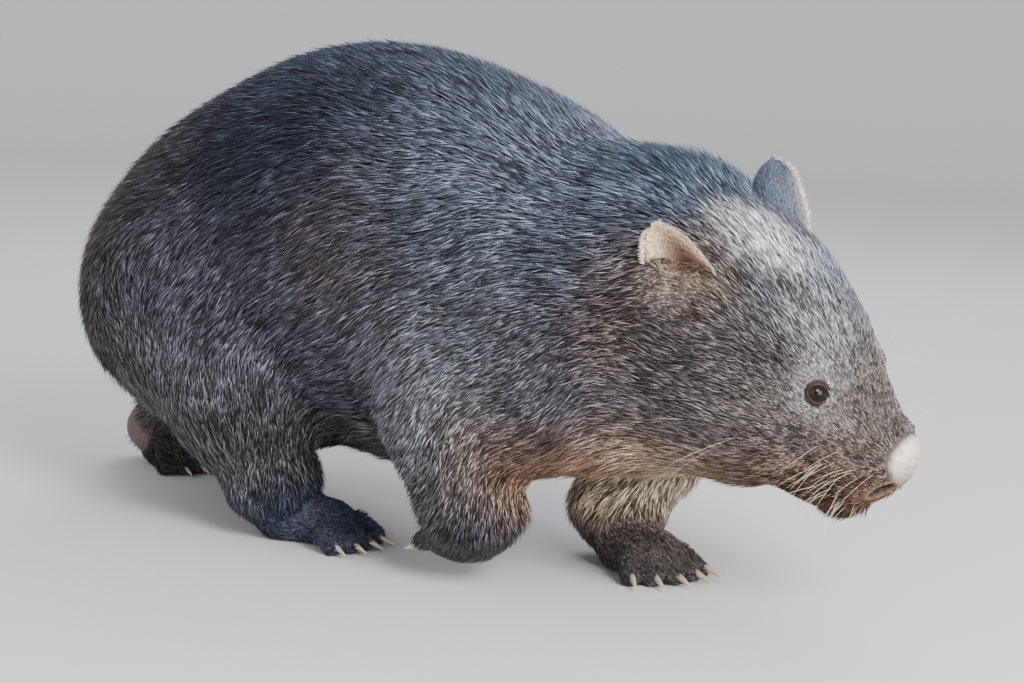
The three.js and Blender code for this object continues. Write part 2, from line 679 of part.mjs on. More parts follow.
// A claw: a curved horn that leaves the toe forwards and bends down to the ground
function clawGeometry(foot, toe) {
  const rings = 4;
  const turns = Array.from({ length: rings }, (_, i) => i / (rings - 1));
  const start = add(toe.end, scale(toe.up, 0.15 * foot.toeRadius));
  const rootDepth = 0.5 * foot.toeRadius;
  const points = turns.map((t) => {
    const along = -rootDepth + (foot.clawLength + rootDepth) * t;
    return add(start, add(scale(toe.way, along), scale(toe.up, -0.28 * foot.clawLength * t ** 2)));
  });
  const widths = turns.map((t) => {
    const size = foot.clawRadius * (1 - 0.86 * t ** 1.3);
    return [size * 0.8, size];
  });
  return tubeGeometry(points, widths, 5, toe.up);
}

// A foot: the palm and ankle as one skin, with the toes let into its front
function footSolid(foot, extra) {
  const { spacing, capRings, sectors } = SKINS.foot;
  const joints = LEGS[foot.leg];
  const mass = (point) => blend(legMass(point, joints), palmMass(point, foot), FOOT_BLEND) - extra;
  let solid = solidOf(skinGeometry(mass, stationsAlong(foot.spine, spacing, capRings), sectors, [0, 1, 0]));
  for (const toe of foot.toeList) {
    const rows = [-0.1, 0.5, 1.05, 1.25];
    const points = rows.map((t) => add(toe.root, scale(subtract(toe.end, toe.root), t)));
    const widths = rows.map((t) => {
      const radius = (foot.toeRadius + 3 * (1 - t)) * (t > 1.2 ? 0.6 : 1) + extra;
      return [radius * 0.86, radius];
    });
    solid = solid.add(solidOf(tubeGeometry(points, widths, 7, toe.up)));
  }
  return solid;
}

function makeFoot(name) {
  const foot = FEET[name];
  const { through, facing } = foot.cut;
  const above = halfSpace(shifted(through, facing, GAP), scale(facing, -1));
  place(name, geometryOf(footSolid(foot, 0).subtract(belowFloor).subtract(above)), "limb");
  const room = footSolid(foot, GAP);
  foot.toeList.slice(foot.bareToes).forEach((toe, i) => {
    const claw = solidOf(clawGeometry(foot, toe)).subtract(room).subtract(belowFloor);
    place(`${name}_claw_${i + 1}`, geometryOf(claw), "claw");
  });
}

makeTorso();
makeTail();
makeNeck();
makeHead();
makeNosePad();
const earRoom = headSkin(GAP).add(coreSkin(GAP));
for (const [sideName, side] of [["left", 1], ["right", -1]]) {
  makeEye(`eye_${sideName}`, side);
  makeEar(`ear_${sideName}`, sideName, earRoom);
}
for (const name of Object.keys(LEGS)) {
  makeLeg(name);
}
for (const name of Object.keys(FEET)) {
  makeFoot(name);
}

// The origin lies on the floor, under the middle of the whole animal
group.updateMatrixWorld(true);
const box = new THREE.Box3().setFromObject(group, true);
const middle = box.getCenter(new THREE.Vector3());
for (const mesh of group.children) {
  mesh.geometry.translate(-middle.x, -middle.y, 0);
}

export default group;
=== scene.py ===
from collections import namedtuple
from math import cos, pi, radians, sin

import bmesh
import bpy
import numpy as np
from mathutils import Matrix, Vector


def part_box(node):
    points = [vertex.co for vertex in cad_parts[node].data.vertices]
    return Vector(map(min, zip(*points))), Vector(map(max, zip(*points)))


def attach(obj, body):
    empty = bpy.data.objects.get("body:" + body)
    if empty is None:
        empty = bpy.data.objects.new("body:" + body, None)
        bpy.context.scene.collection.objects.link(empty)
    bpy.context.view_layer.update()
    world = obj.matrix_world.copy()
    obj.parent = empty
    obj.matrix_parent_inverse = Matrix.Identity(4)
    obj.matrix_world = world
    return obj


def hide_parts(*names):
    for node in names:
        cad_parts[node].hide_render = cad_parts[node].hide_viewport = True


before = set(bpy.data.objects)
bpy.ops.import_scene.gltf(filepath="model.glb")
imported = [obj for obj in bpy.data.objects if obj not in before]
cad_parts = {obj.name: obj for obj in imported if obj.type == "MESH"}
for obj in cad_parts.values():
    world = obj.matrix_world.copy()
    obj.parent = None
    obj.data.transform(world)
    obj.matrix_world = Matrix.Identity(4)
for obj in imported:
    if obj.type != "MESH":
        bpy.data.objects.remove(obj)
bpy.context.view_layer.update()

# The camera. It looks at the animal's right side from a little ahead, low, from under two metres,
# with a lens of about 77 mm on a 36 mm sensor, tipped slightly as the photograph is.
azimuth, elevation, roll = radians(35.7), radians(8.6), radians(2.6)
back_way = Vector((sin(azimuth) * cos(elevation), -cos(azimuth) * cos(elevation), sin(elevation)))
level_right = Vector((cos(azimuth), sin(azimuth), 0))
level_up = back_way.cross(level_right)
right_way = level_right * cos(roll) + level_up * sin(roll)
up_way = level_up * cos(roll) - level_right * sin(roll)
camera_data = bpy.data.cameras.new("camera")
camera_data.lens = 77.1
camera_data.sensor_width = 36
camera = bpy.data.objects.new("camera", camera_data)
camera_turn = Matrix((right_way, up_way, back_way)).transposed().to_4x4()
camera.matrix_world = Matrix.Translation(Vector((0.0612, 0.0071, 0.1854)) + back_way * 1.865) @ camera_turn
bpy.context.scene.collection.objects.link(camera)
bpy.context.scene.camera = camera


# The skin. One hide covers trunk, neck, head, tail, legs and feet. Its form is a blend of the masses
# of muscle and fat below it, in the animal's own millimetres, and it lies under the coat's surface.
ROW_ORIGIN = np.array([24.61, -7.06, 0.0])
trunk_masses = [
    ((-199, 0, 207), (152, 153, 153)),
    ((-53, 0, 256), (229, 166, 177)),
    ((79, 0, 229), (198, 155, 153)),
    ((233, 2, 219), (113, 132, 124)),
]
head_middle = np.array([320.0, -14.0, 233.0])
head_yaw, head_pitch, head_roll = radians(6), radians(29), radians(9)
# Each leg from its root to its foot: the joints' places and how thick the leg is there
leg_joints = {
    "foreleg_left": [
        ((203, 79, 185), 82), ((178, 88, 115), 55), ((163, 62, 50), 37), ((186, 38, 24), 27),
    ],
    "foreleg_right": [
        ((186, -92, 183), 84), ((118, -113, 139), 63), ((128, -104, 72), 42), ((120, -96, 50), 30),
    ],
    "hindleg_left": [
        ((-210, 70, 193), 100), ((-255, 75, 107), 70), ((-336, 55, 76), 37), ((-388, 50, 36), 28),
    ],
    "hindleg_right": [
        ((-197, -84, 199), 107), ((-122, -109, 136), 74), ((-93, -99, 55), 38), ((-84, -93, 25), 26),
    ],
}
# Each foot: its leg, the middle and half sizes of its palm, its heading and pitch in degrees, then how long
# the toes are, how far ahead they start, how they spread, how far they drop, the claws' length and the
# number of the toe without a claw
Foot = namedtuple("Foot", "leg palm half heading pitch toe root_ahead spread drop claw bare_toe")
feet = {
    "forepaw_left": Foot("foreleg_left", (208, 34, 20), (35, 31, 22), -20, 0, 26, 16, 13, 12, 23, None),
    "forepaw_right": Foot("foreleg_right", (114, -96, 46), (32, 31, 24), 0, 136, 17, 12, 9, 6, 17, None),
    "hindfoot_left": Foot("hindleg_left", (-358, 46, 19), (34, 26, 22), -8, 0, 24, 18, 10, 12, 19, 0),
    "hindfoot_right": Foot("hindleg_right", (-56, -83, 20), (44, 26, 22), 6, 0, 24, 28, 10, 12, 19, 4),
}
toe_radius = {"fore": 9.0, "hind": 8.5}


def to_row(points):
    return (np.asarray(points, float) - ROW_ORIGIN) * 0.001


def from_row(points):
    return np.asarray(points, float) * 1000 + ROW_ORIGIN


def unit(vectors):
    vectors = np.asarray(vectors, float)
    return vectors / np.maximum(np.linalg.norm(vectors, axis=-1, keepdims=True), 1e-9)


def smooth(low, high, value):
    t = np.clip((np.asarray(value, float) - low) / (high - low), 0, 1)
    return t * t * (3 - 2 * t)


def ellipsoid(points, centre, half):
    q = points - np.asarray(centre, float)
    half = np.asarray(half, float)
    k0 = np.linalg.norm(q / half, axis=-1)
    k1 = np.linalg.norm(q / half**2, axis=-1)
    return k0 * (k0 - 1) / np.maximum(k1, 1e-9)


def taper(points, start, end, start_radius, end_radius):
    start, end = np.asarray(start, float), np.asarray(end, float)
    axis = end - start
    t = np.clip((points - start) @ axis / (axis @ axis), 0, 1)
    radius = start_radius + (end_radius - start_radius) * t
    return np.linalg.norm(points - start - t[..., None] * axis, axis=-1) - radius


def blend(a, b, width):
    h = np.clip(0.5 + 0.5 * (b - a) / width, 0, 1)
    return b + (a - b) * h - width * h * (1 - h)


head_forward = np.array([
    cos(head_yaw) * cos(head_pitch), sin(head_yaw) * cos(head_pitch), -sin(head_pitch),
])
head_level = np.array([-sin(head_yaw), cos(head_yaw), 0.0])
head_upright = np.cross(head_forward, head_level)
head_left = head_level * cos(head_roll) + head_upright * sin(head_roll)
head_up = head_upright * cos(head_roll) - head_level * sin(head_roll)
head_turn = np.stack([head_forward, head_left, head_up])


def to_head(points):
    return (points - head_middle) @ head_turn.T


def from_head(points):
    return head_middle + np.asarray(points, float) @ head_turn


def head_mass(points):
    q = to_head(points)
    mirrored = q * [1, 0, 1] + np.abs(q) * [0, 1, 0]
    d = ellipsoid(q, (0, 0, -7), (98, 88, 76))
    d = blend(d, ellipsoid(mirrored, (31, 44, -40), (80, 50, 60)), 34)
    d = blend(d, taper(q, (66, 0, -13), (138, 0, -25), 60, 36), 34)
    d = blend(d, ellipsoid(mirrored, (122, 25, -42), (38, 28, 27)), 20)
    return blend(d, taper(q, (34, 0, -67), (133, 0, -64), 42, 23), 12)


def foot_ways(foot):
    turn, dip = radians(feet[foot].heading), radians(feet[foot].pitch)
    forward = np.array([cos(turn) * cos(dip), sin(turn) * cos(dip), -sin(dip)])
    left = np.array([-sin(turn), cos(turn), 0.0])
    return forward, left, np.cross(forward, left)


def toes_of(foot):
    # Way, upper side, root and end of each toe, from the right to the left
    palm, half, drop = np.array(feet[foot].palm), feet[foot].half, feet[foot].drop
    forward, left, up = foot_ways(foot)
    toes = []
    for side in (-2, -1, 0, 1, 2):
        turn = radians(side * feet[foot].spread)
        way = forward * cos(turn) + left * sin(turn)
        root = palm + way * feet[foot].root_ahead + left * side * half[1] * 0.34 - up * 0.3 * drop
        end = root + way * feet[foot].toe * (1 - 0.09 * side * side) - up * 0.7 * drop
        toes.append((way, up, root, end))
    return toes


def leg_mass(points, joints):
    d = None
    for (start, start_radius), (end, end_radius) in zip(joints, joints[1:]):
        bone = taper(points, start, end, start_radius, end_radius)
        d = bone if d is None else blend(d, bone, 22)
    return d


def foot_mass(points, foot):
    ways = np.stack(foot_ways(foot))
    d = ellipsoid((points - feet[foot].palm) @ ways.T, (0, 0, 0), feet[foot].half)
    radius = toe_radius[foot[:4]]
    for way, up, root, end in toes_of(foot):
        d = blend(d, taper(points, root, end, radius + 2, radius), 7)
    return d


def trunk_mass(points):
    d = ellipsoid(points, *trunk_masses[0])
    for mass in trunk_masses[1:]:
        d = blend(d, ellipsoid(points, *mass), 60)
    return d


def body_mass(points):
    d = blend(trunk_mass(points), taper(points, (243, 2, 239), head_middle - [25, 0, 0], 107, 86), 50)
    d = blend(d, head_mass(points), 45)
    for name, joints in leg_joints.items():
        limb = leg_mass(points, joints)
        foot = next(foot for foot in feet if feet[foot].leg == name)
        d = blend(d, blend(limb, foot_mass(points, foot), 12), np.where(points[:, 2] < 90, 12, 40))
    return blend(d, taper(points, (-300, 0, 172), (-362, 0, 136), 17, 8), 14)


def outward(mass, points, step=1.5):
    slope = np.stack([
        mass(points + step * axis) - mass(points - step * axis) for axis in np.eye(3)
    ], axis=1)
    return unit(slope)


def surface_along(mass, starts, ways, rounds=40):
    points = np.array(starts, float)
    ways = unit(ways)
    for _ in range(rounds):
        points = points - 0.8 * mass(points)[:, None] * ways
    return points


eye_middles = {side: from_row((np.array(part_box(f"eye_{side}")[0]) + np.array(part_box(f"eye_{side}")[1])) / 2)
               for side in ("left", "right")}
eye_ways = {side: outward(head_mass, (middle + head_left * (8.5 if side == "left" else -8.5))[None])[0]
            for side, middle in eye_middles.items()}
EYE_RADIUS = 12.0

# Ears: height, width, how far behind the middle of the head, and their ways
ears = {
    "left": (58, 60, 35, 0.7, (-0.49, 0.15, 0.85), (0.12, 0.99, -0.04)),
    "right": (52, 56, 38, 0.4, (-0.52, -0.55, 0.66), (0.24, -0.97, -0.18)),
}
ear_frames = {}
for side, (_, _, back, rise, lean, opening) in ears.items():
    sign = 1 if side == "left" else -1
    ear_up = unit(np.array(lean)) @ head_turn
    facing = unit(np.array(opening)) @ head_turn
    ear_out = unit(facing - ear_up * (facing @ ear_up))
    out_way = np.array([0, sign * (1 - rise**2) ** 0.5, rise]) @ head_turn
    root = surface_along(head_mass, from_head([[-back, sign * 30, 20]]), out_way[None])[0]
    ear_frames[side] = (root, ear_up, np.cross(ear_up, ear_out), ear_out)

# Middle line of the mouth, from the left corner round the front to the right one
turns = np.linspace(-1, 1, 41)
mouth_starts = from_head(np.stack([
    117 - 25 * (1 - np.cos(pi / 2 * turns)), 20 * np.sin(pi / 2 * turns), -62 + 5 * turns**2,
], axis=1))
mouth_ways = np.stack([np.cos(pi / 2 * turns), np.sin(pi / 2 * turns), 0 * turns], axis=1) @ head_turn
mouth_line = surface_along(head_mass, mouth_starts, mouth_ways)
nostrils = {side: surface_along(head_mass, from_head([[130, y, -36.5]]), head_turn[:1])[0]
            for side, y in (("left", 22), ("right", -22))}


def nearest(points, spots):
    return np.min([np.linalg.norm(points - spot, axis=1) for spot in spots], axis=0)


def distance_to_line(points, line):
    d = np.full(len(points), 1e9)
    for start, end in zip(line, line[1:]):
        d = np.minimum(d, taper(points, start, end, 0, 0))
    return d


def nose_shield(points):
    # How far outside the bare shield of the nose a point lies, seen from the front
    forward, left, up = to_head(points).T
    wide = 24.5 - 0.36 * np.clip(-14 - up, 0, 30)
    across = np.hypot(left / wide, (up + 18) / 21.5)
    return np.where(forward > 110, (across - 1) * 19, 60)


def coat_depth(points):
    # How deep the skin lies under the outline of the coat
    forward, left, up = to_head(points).T
    deep = 8.5 - 4.5 * smooth(-60, 40, forward) - 2.9 * smooth(40, 115, forward)
    deep = np.minimum(deep, 1.6 + 7 * smooth(30, 130, points[:, 2]))
    deep = np.minimum(deep, 1.2 + 0.25 * np.maximum(nearest(points, eye_middles.values()) - 22, 0))
    return deep * smooth(0, 14, points[:, 2])


# The solids swell across the thin cuts between them and melt into one rough body
swell = 0.0006
flesh = ["torso", "neck", "head", "nose_pad", "tail", *leg_joints, *feet]
joined = bmesh.new()
for node in flesh:
    piece = bmesh.new()
    piece.from_mesh(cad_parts[node].data)
    bmesh.ops.remove_doubles(piece, verts=piece.verts, dist=1e-6)
    piece.normal_update()
    for vertex in piece.verts:
        vertex.co += vertex.normal * swell
    swollen = bpy.data.meshes.new("swollen")
    piece.to_mesh(swollen)
    joined.from_mesh(swollen)
    piece.free()
    bpy.data.meshes.remove(swollen)
rough_mesh = bpy.data.meshes.new("rough")
joined.to_mesh(rough_mesh)
joined.free()
rough = bpy.data.objects.new("rough", rough_mesh)
bpy.context.scene.collection.objects.link(rough)
remesh = rough.modifiers.new("remesh", "REMESH")
remesh.mode = "VOXEL"
remesh.voxel_size = 0.0042
skin_mesh = bpy.data.meshes.new_from_object(rough.evaluated_get(bpy.context.evaluated_depsgraph_get()))
bpy.data.objects.remove(rough)

hide = bmesh.new()
hide.from_mesh(skin_mesh)
# Only the outermost shell is kept
seen = set()
shells = []
for vertex in hide.verts:
    if vertex in seen:
        continue
    shell, front = [], [vertex]
    seen.add(vertex)
    while front:
        current = front.pop()
        shell.append(current)
        for edge in current.link_edges:
            other = edge.other_vert(current)
            if other not in seen:
                seen.add(other)
                front.append(other)
    shells.append(shell)
shells.sort(key=len)
for shell in shells[:-1]:
    bmesh.ops.delete(hide, geom=shell, context="VERTS")


def refine(near):
    # Splits the faces whose corners lie near something finely shaped
    hide.verts.ensure_lookup_table()
    points = from_row([vertex.co for vertex in hide.verts])
    close = near(points)
    for vertex, is_close in zip(hide.verts, close):
        vertex.tag = bool(is_close)
    edges = [edge for edge in hide.edges if edge.verts[0].tag and edge.verts[1].tag]
    bmesh.ops.subdivide_edges(hide, edges=edges, cuts=1, use_grid_fill=True)


def front_of_face(points):
    q = to_head(points)
    near_eye = nearest(points, eye_middles.values()) < 30
    near_ear = nearest(points, [ear[0] for ear in ear_frames.values()]) < 34
    return ((q[:, 0] > 62) & (np.abs(q[:, 1]) < 70) & (points[:, 2] > 60)) | near_eye | near_ear


def mouth_and_nose(points):
    near = distance_to_line(points, mouth_line[::4]) < 8
    near |= nose_shield(points) < 4
    return near | (nearest(points, nostrils.values()) < 14)


refine(front_of_face)
refine(mouth_and_nose)
hide.to_mesh(skin_mesh)
hide.free()
skin_mesh.update()


def read(items, name, width, kind=float):
    values = np.empty(len(items) * width, kind)
    items.foreach_get(name, values)
    return values.reshape(-1, width)


skin_points = from_row(read(skin_mesh.vertices, "co", 3))
skin_edges = read(skin_mesh.edges, "vertices", 2, int)
ends = np.concatenate([skin_edges[:, 0], skin_edges[:, 1]])
others = np.concatenate([skin_edges[:, 1], skin_edges[:, 0]])
neighbours = np.bincount(ends, minlength=len(skin_points))[:, None]


def relaxed(points):
    total = np.stack([np.bincount(ends, points[others, n], len(points)) for n in range(3)], axis=1)
    return total / neighbours


def settle(points, rounds):
    for _ in range(rounds):
        value = body_mass(points) + coat_depth(points)
        points = points - np.clip(value, -5, 5)[:, None] * outward(body_mass, points)
    return points


for _ in range(4):
    skin_points = 0.5 * skin_points + 0.5 * relaxed(skin_points)
skin_points = settle(skin_points, 3)
for _ in range(2):
    skin_points = settle(0.4 * skin_points + 0.6 * relaxed(skin_points), 1)
skin_normals = outward(body_mass, skin_points)

# Lips, mouth line, nostrils and the rim of the bare nose are pressed into the skin
line_distance = distance_to_line(skin_points, mouth_line)
ends_fade = smooth(88, 100, to_head(skin_points)[:, 0])
groove = np.exp(-((line_distance / 1.5) ** 2)) * ends_fade
lips = np.exp(-(((line_distance - 4.2) / 2.6) ** 2)) * ends_fade
shield = nose_shield(skin_points)
bare_nose = 1 - smooth(-2.6, 1.6, shield)
nose_rim = np.exp(-((shield / 1.6) ** 2))
q = to_head(skin_points)
nostril_half = (9.5, 7.5)
nostril_pit = np.zeros(len(skin_points))
nostril_rim = np.zeros(len(skin_points))
nostril_area = np.zeros(len(skin_points))
for side, sign in (("left", 1), ("right", -1)):
    spot = to_head(nostrils[side][None])[0]
    a = sign * (q[:, 1] - spot[1])
    b = q[:, 2] - spot[2] + 0.3 * a
    reach = np.hypot(a / nostril_half[0], b / nostril_half[1])
    reach = reach + 10 * ((q[:, 0] < 110) | (sign * q[:, 1] < 0))
    nostril_area = np.maximum(nostril_area, 1 - smooth(1.05, 1.4, reach))
    nostril_pit = np.maximum(nostril_pit, 1 - smooth(0.75, 1.05, reach))
    nostril_rim = np.maximum(nostril_rim, np.exp(-(((reach - 1.15) / 0.18) ** 2)))
philtrum = np.exp(-((q[:, 1] / 1.3) ** 2)) * smooth(-64, -58, q[:, 2]) * smooth(-8, -30, q[:, 2])
philtrum = philtrum * (q[:, 0] > 120)
# Heights and depths in millimetres
lip_height, mouth_depth, nose_height, nose_rim_depth = 0.8, 1.8, 0.9, 1.0
nostril_rim_height, philtrum_depth, nostril_depth, ear_cup_depth = 0.9, 1.3, 9.0, 13
push = lip_height * lips - mouth_depth * groove + nose_height * bare_nose - nose_rim_depth * nose_rim
push = push + nostril_rim_height * nostril_rim - philtrum_depth * philtrum
push -= nostril_depth * nostril_pit
# In front of each ear the skin sinks into the ear's cup
ear_cup = np.zeros(len(skin_points))
for root, ear_up, ear_across, ear_out in ear_frames.values():
    offset = skin_points - root
    across, outwards, upwards = offset @ ear_across, offset @ ear_out, offset @ ear_up
    reach = np.sqrt((across / 23) ** 2 + ((outwards + 3) / 16) ** 2 + (upwards / 28) ** 2)
    ear_cup = np.maximum(ear_cup, 1 - smooth(0.35, 1.1, reach))
push -= ear_cup_depth * ear_cup
skin_points = skin_points + push[:, None] * skin_normals

# The rim of each eye socket swells, and the skin behind the opening of the lids lies inside the ball
for side, middle in eye_middles.items():
    way = eye_ways[side]
    offset = skin_points - middle
    height = offset @ way
    reach = np.linalg.norm(offset - height[:, None] * way, axis=1)
    near = (reach < 26) & (height > -6)
    mound = 4.0 * np.exp(-((reach / 12.5) ** 2))
    wanted = height + mound
    inside_ball = np.sqrt(np.maximum(EYE_RADIUS**2 - reach**2, 0)) - 1.6
    wanted = np.where(reach < 10.2, np.minimum(wanted, inside_ball), wanted)
    skin_points = np.where(near[:, None], skin_points + (wanted - height)[:, None] * way, skin_points)
skin_points[:, 2] = np.maximum(skin_points[:, 2], 0)

skin_mesh.vertices.foreach_set("co", to_row(skin_points).ravel())
skin_mesh.polygons.foreach_set("use_smooth", np.ones(len(skin_mesh.polygons), bool))
skin_mesh.update()
skin = bpy.data.objects.new("skin", skin_mesh)
bpy.context.scene.collection.objects.link(skin)


def store(mesh, name, values):
    attribute = mesh.attributes.new(name, "FLOAT", "POINT")
    attribute.data.foreach_set("value", np.asarray(values, np.float32))


# Bare soles: the raised heel behind and the pads of the lifted forepaw
heel = np.array([-397, 30, 40])
forward, left, up = foot_ways("forepaw_right")
pads = np.array(feet["forepaw_right"].palm) + forward * 6 - up * 16
sole = np.zeros(len(skin_points))
for middle, reach in ((heel, 40), (pads, 24)):
    sole = np.maximum(sole, 1 - smooth(0.55, 1, np.linalg.norm(skin_points - middle, axis=1) / reach))
store(skin_mesh, "nose", bare_nose)
store(skin_mesh, "nostril", smooth(0.02, 0.35, nostril_pit))
store(skin_mesh, "nostril_rim", nostril_rim * smooth(104, 118, q[:, 0]))
store(skin_mesh, "mouth", groove)
store(skin_mesh, "lips", lips)
store(skin_mesh, "sole", sole)
store(skin_mesh, "ear_cup", ear_cup)

# The skin is laid out flat once, so that every tuft can take its place on it
bpy.context.view_layer.objects.active = skin
skin.select_set(True)
skin_mesh.uv_layers.new(name="OFBake")
bpy.ops.object.mode_set(mode="EDIT")
bpy.ops.mesh.select_all(action="SELECT")
bpy.ops.uv.smart_project(angle_limit=radians(66), island_margin=0.004)
bpy.ops.object.mode_set(mode="OBJECT")

markings = bpy.data.node_groups.new("markings", "ShaderNodeTree")
markings.interface.new_socket("Position", in_out="INPUT", socket_type="NodeSocketVector")
markings.interface.new_socket("Color", in_out="OUTPUT", socket_type="NodeSocketColor")


def node(tree, kind, inputs=(), **settings):
    # A node with its settings, and its inputs given by name or number as values or as other sockets
    made = tree.nodes.new("ShaderNode" + kind)
    for name, value in settings.items():
        setattr(made, name, value)
    for name, value in dict(inputs).items():
        socket = made.inputs[name]
        if isinstance(value, bpy.types.NodeSocket):
            tree.links.new(value, socket)
        elif socket.type == "RGBA" and len(value) == 3:
            socket.default_value = (*value, 1)
        else:
            socket.default_value = value
    return made


def mixed(tree, factor, a, b, blend_type="MIX"):
    made = node(tree, "Mix", data_type="RGBA", blend_type=blend_type)
    for number, value in ((0, factor), (6, a), (7, b)):
        if isinstance(value, bpy.types.NodeSocket):
            tree.links.new(value, made.inputs[number])
        else:
            made.inputs[number].default_value = value if number == 0 else (*value, 1)
    return made.outputs[2]


def noise(tree, place, scale, detail, **more):
    made = node(tree, "TexNoise", {"Vector": place, "Scale": scale, "Detail": detail, **more})
    return made.outputs["Fac"]


def ranged(tree, value, start, end, low=0.0, high=1.0, **settings):
    inputs = {"Value": value, "From Min": start, "From Max": end, "To Min": low, "To Max": high}
    return node(tree, "MapRange", inputs, **settings).outputs["Result"]


def dimmed(tree, colour, strength):
    return node(tree, "VectorMath", {0: colour, "Scale": strength}, operation="SCALE").outputs[0]


# Each marking is a soft patch of colour: middle, half sizes, softness, strength and colour. Where two
# overlap, the later one lies on top. Those of the head have their middles in the head's own frame.
body_colours = [
    # The back: its own slate grey, with a painted bluish sheen of sky light reflected off the top of the coat
    ("back", (-40, 0, 445), (300, 150, 70), 0.6, 0.8, (0.075, 0.092, 0.13)),
    ("rump", (-290, 0, 220), (150, 210, 190), 0.55, 0.8, (0.088, 0.072, 0.068)),
    ("thighs", (-190, 0, 110), (150, 230, 80), 0.6, 0.8, (0.145, 0.142, 0.14)),
    ("rump_low", (-300, 0, 165), (90, 210, 60), 0.6, 0.75, (0.07, 0.068, 0.07)),
    ("shin_right", (-93, -99, 62), (60, 60, 45), 0.6, 0.75, (0.1, 0.1, 0.105)),
    ("shin_left", (-330, 62, 80), (60, 60, 45), 0.6, 0.75, (0.1, 0.1, 0.105)),
    ("flank", (60, -150, 200), (210, 110, 95), 0.6, 0.75, (0.12, 0.12, 0.15)),
    ("far_flank", (60, 150, 200), (210, 110, 95), 0.6, 0.75, (0.12, 0.12, 0.15)),
    ("ribs", (30, -160, 285), (55, 90, 60), 0.6, 0.45, (0.085, 0.056, 0.05)),
    ("far_ribs", (30, 160, 285), (55, 90, 60), 0.6, 0.45, (0.085, 0.056, 0.05)),
    ("belly", (0, 0, 95), (260, 130, 45), 0.5, 0.9, (0.095, 0.082, 0.078)),
    ("upper_arm_right", (140, -150, 150), (85, 80, 85), 0.55, 0.8, (0.2, 0.21, 0.24)),
    ("upper_arm_left", (180, 140, 150), (85, 80, 85), 0.55, 0.8, (0.2, 0.21, 0.24)),
    ("neck", (262, 0, 250), (90, 190, 130), 0.6, 0.75, (0.09, 0.084, 0.096)),
    # The shoulders: their own grey, with a painted bluish sheen of sky light on the top of the coat
    ("shoulders", (150, 0, 335), (150, 200, 90), 0.6, 0.75, (0.17, 0.2, 0.26)),
    ("behind_ear", (262, -115, 245), (30, 50, 55), 0.6, 0.5, (0.105, 0.07, 0.056)),
    # The nape: its own grey, with a painted bluish sheen of sky light
    ("nape", (270, -10, 345), (80, 90, 50), 0.6, 0.85, (0.083, 0.115, 0.17)),
    ("chest", (250, 0, 120), (105, 105, 70), 0.55, 0.95, (0.42, 0.29, 0.19)),
    ("armpit", (175, -100, 120), (90, 60, 55), 0.6, 0.8, (0.23, 0.135, 0.085)),
    ("far_armpit", (190, 60, 110), (70, 70, 70), 0.6, 0.9, (0.45, 0.32, 0.21)),
]
head_colours = [
    ("cheeks", (40, 0, -30), (110, 110, 80), 0.6, 0.85, (0.175, 0.148, 0.132)),
    ("forehead", (20, 0, 75), (95, 55, 62), 0.55, 0.85, (0.21, 0.228, 0.265)),
    ("crown", (-15, -14, 78), (36, 30, 27), 0.8, 0.9, (0.95, 0.95, 0.93)),
    ("brow", (60, -32, 50), (36, 24, 22), 0.9, 0.6, (0.45, 0.43, 0.4)),
    ("muzzle", (125, 0, -10), (48, 52, 50), 0.55, 0.75, (0.15, 0.13, 0.118)),
    ("jaw", (60, 0, -82), (120, 80, 44), 0.5, 0.9, (0.115, 0.058, 0.027)),
    ("chin", (135, 0, -62), (48, 60, 26), 0.5, 0.9, (0.1, 0.048, 0.021)),
    ("throat", (0, 0, -108), (90, 80, 36), 0.5, 0.85, (0.65, 0.49, 0.37)),
    ("eye_ring_left", (84, 52, 26), (22, 22, 18), 0.8, 0.6, (0.42, 0.41, 0.41)),
    ("eye_ring_right", (84, -52, 26), (22, 22, 18), 0.8, 0.6, (0.42, 0.41, 0.41)),
]
leg_colours = [
    # The far foreleg: its pale buff is partly its own colour and partly a painted patch of sunlight
    ("foreleg_left", (178, 70, 85), (70, 60, 60), 0.5, 0.9, (0.8, 0.7, 0.55)),
    ("paw_left", (205, 34, 15), (75, 60, 36), 0.5, 0.85, (0.075, 0.062, 0.055)),
    ("forepaw_right", (115, -100, 25), (70, 60, 45), 0.5, 0.8, (0.08, 0.07, 0.066)),
    ("hindfoot_left", (-360, 50, 20), (90, 60, 50), 0.5, 0.8, (0.09, 0.075, 0.068)),
    ("hindfoot_right", (-60, -88, 15), (90, 60, 45), 0.5, 0.85, (0.04, 0.052, 0.085)),
]
coat_colours = body_colours + [(name, from_head(middle), *rest) for name, middle, *rest in head_colours]
coat_colours += [(f"ear_root_{side}", ear_frames[side][0], (32, 32, 32), 0.8, 0.65, (0.38, 0.29, 0.21))
                 for side in ears]
coat_colours += leg_colours
entry = markings.nodes.new("NodeGroupInput").outputs["Position"]
wander = node(markings, "TexNoise", {"Vector": entry, "Scale": 9.0, "Detail": 3.0})
# The patches' edges wander by a few centimetres
centred = {0: wander.outputs["Color"], 1: (0.5, 0.5, 0.5)}
offset = node(markings, "VectorMath", centred, operation="SUBTRACT")
moved = node(markings, "VectorMath", {0: offset.outputs[0], 1: (0.05, 0.05, 0.05), 2: entry},
             operation="MULTIPLY_ADD").outputs[0]
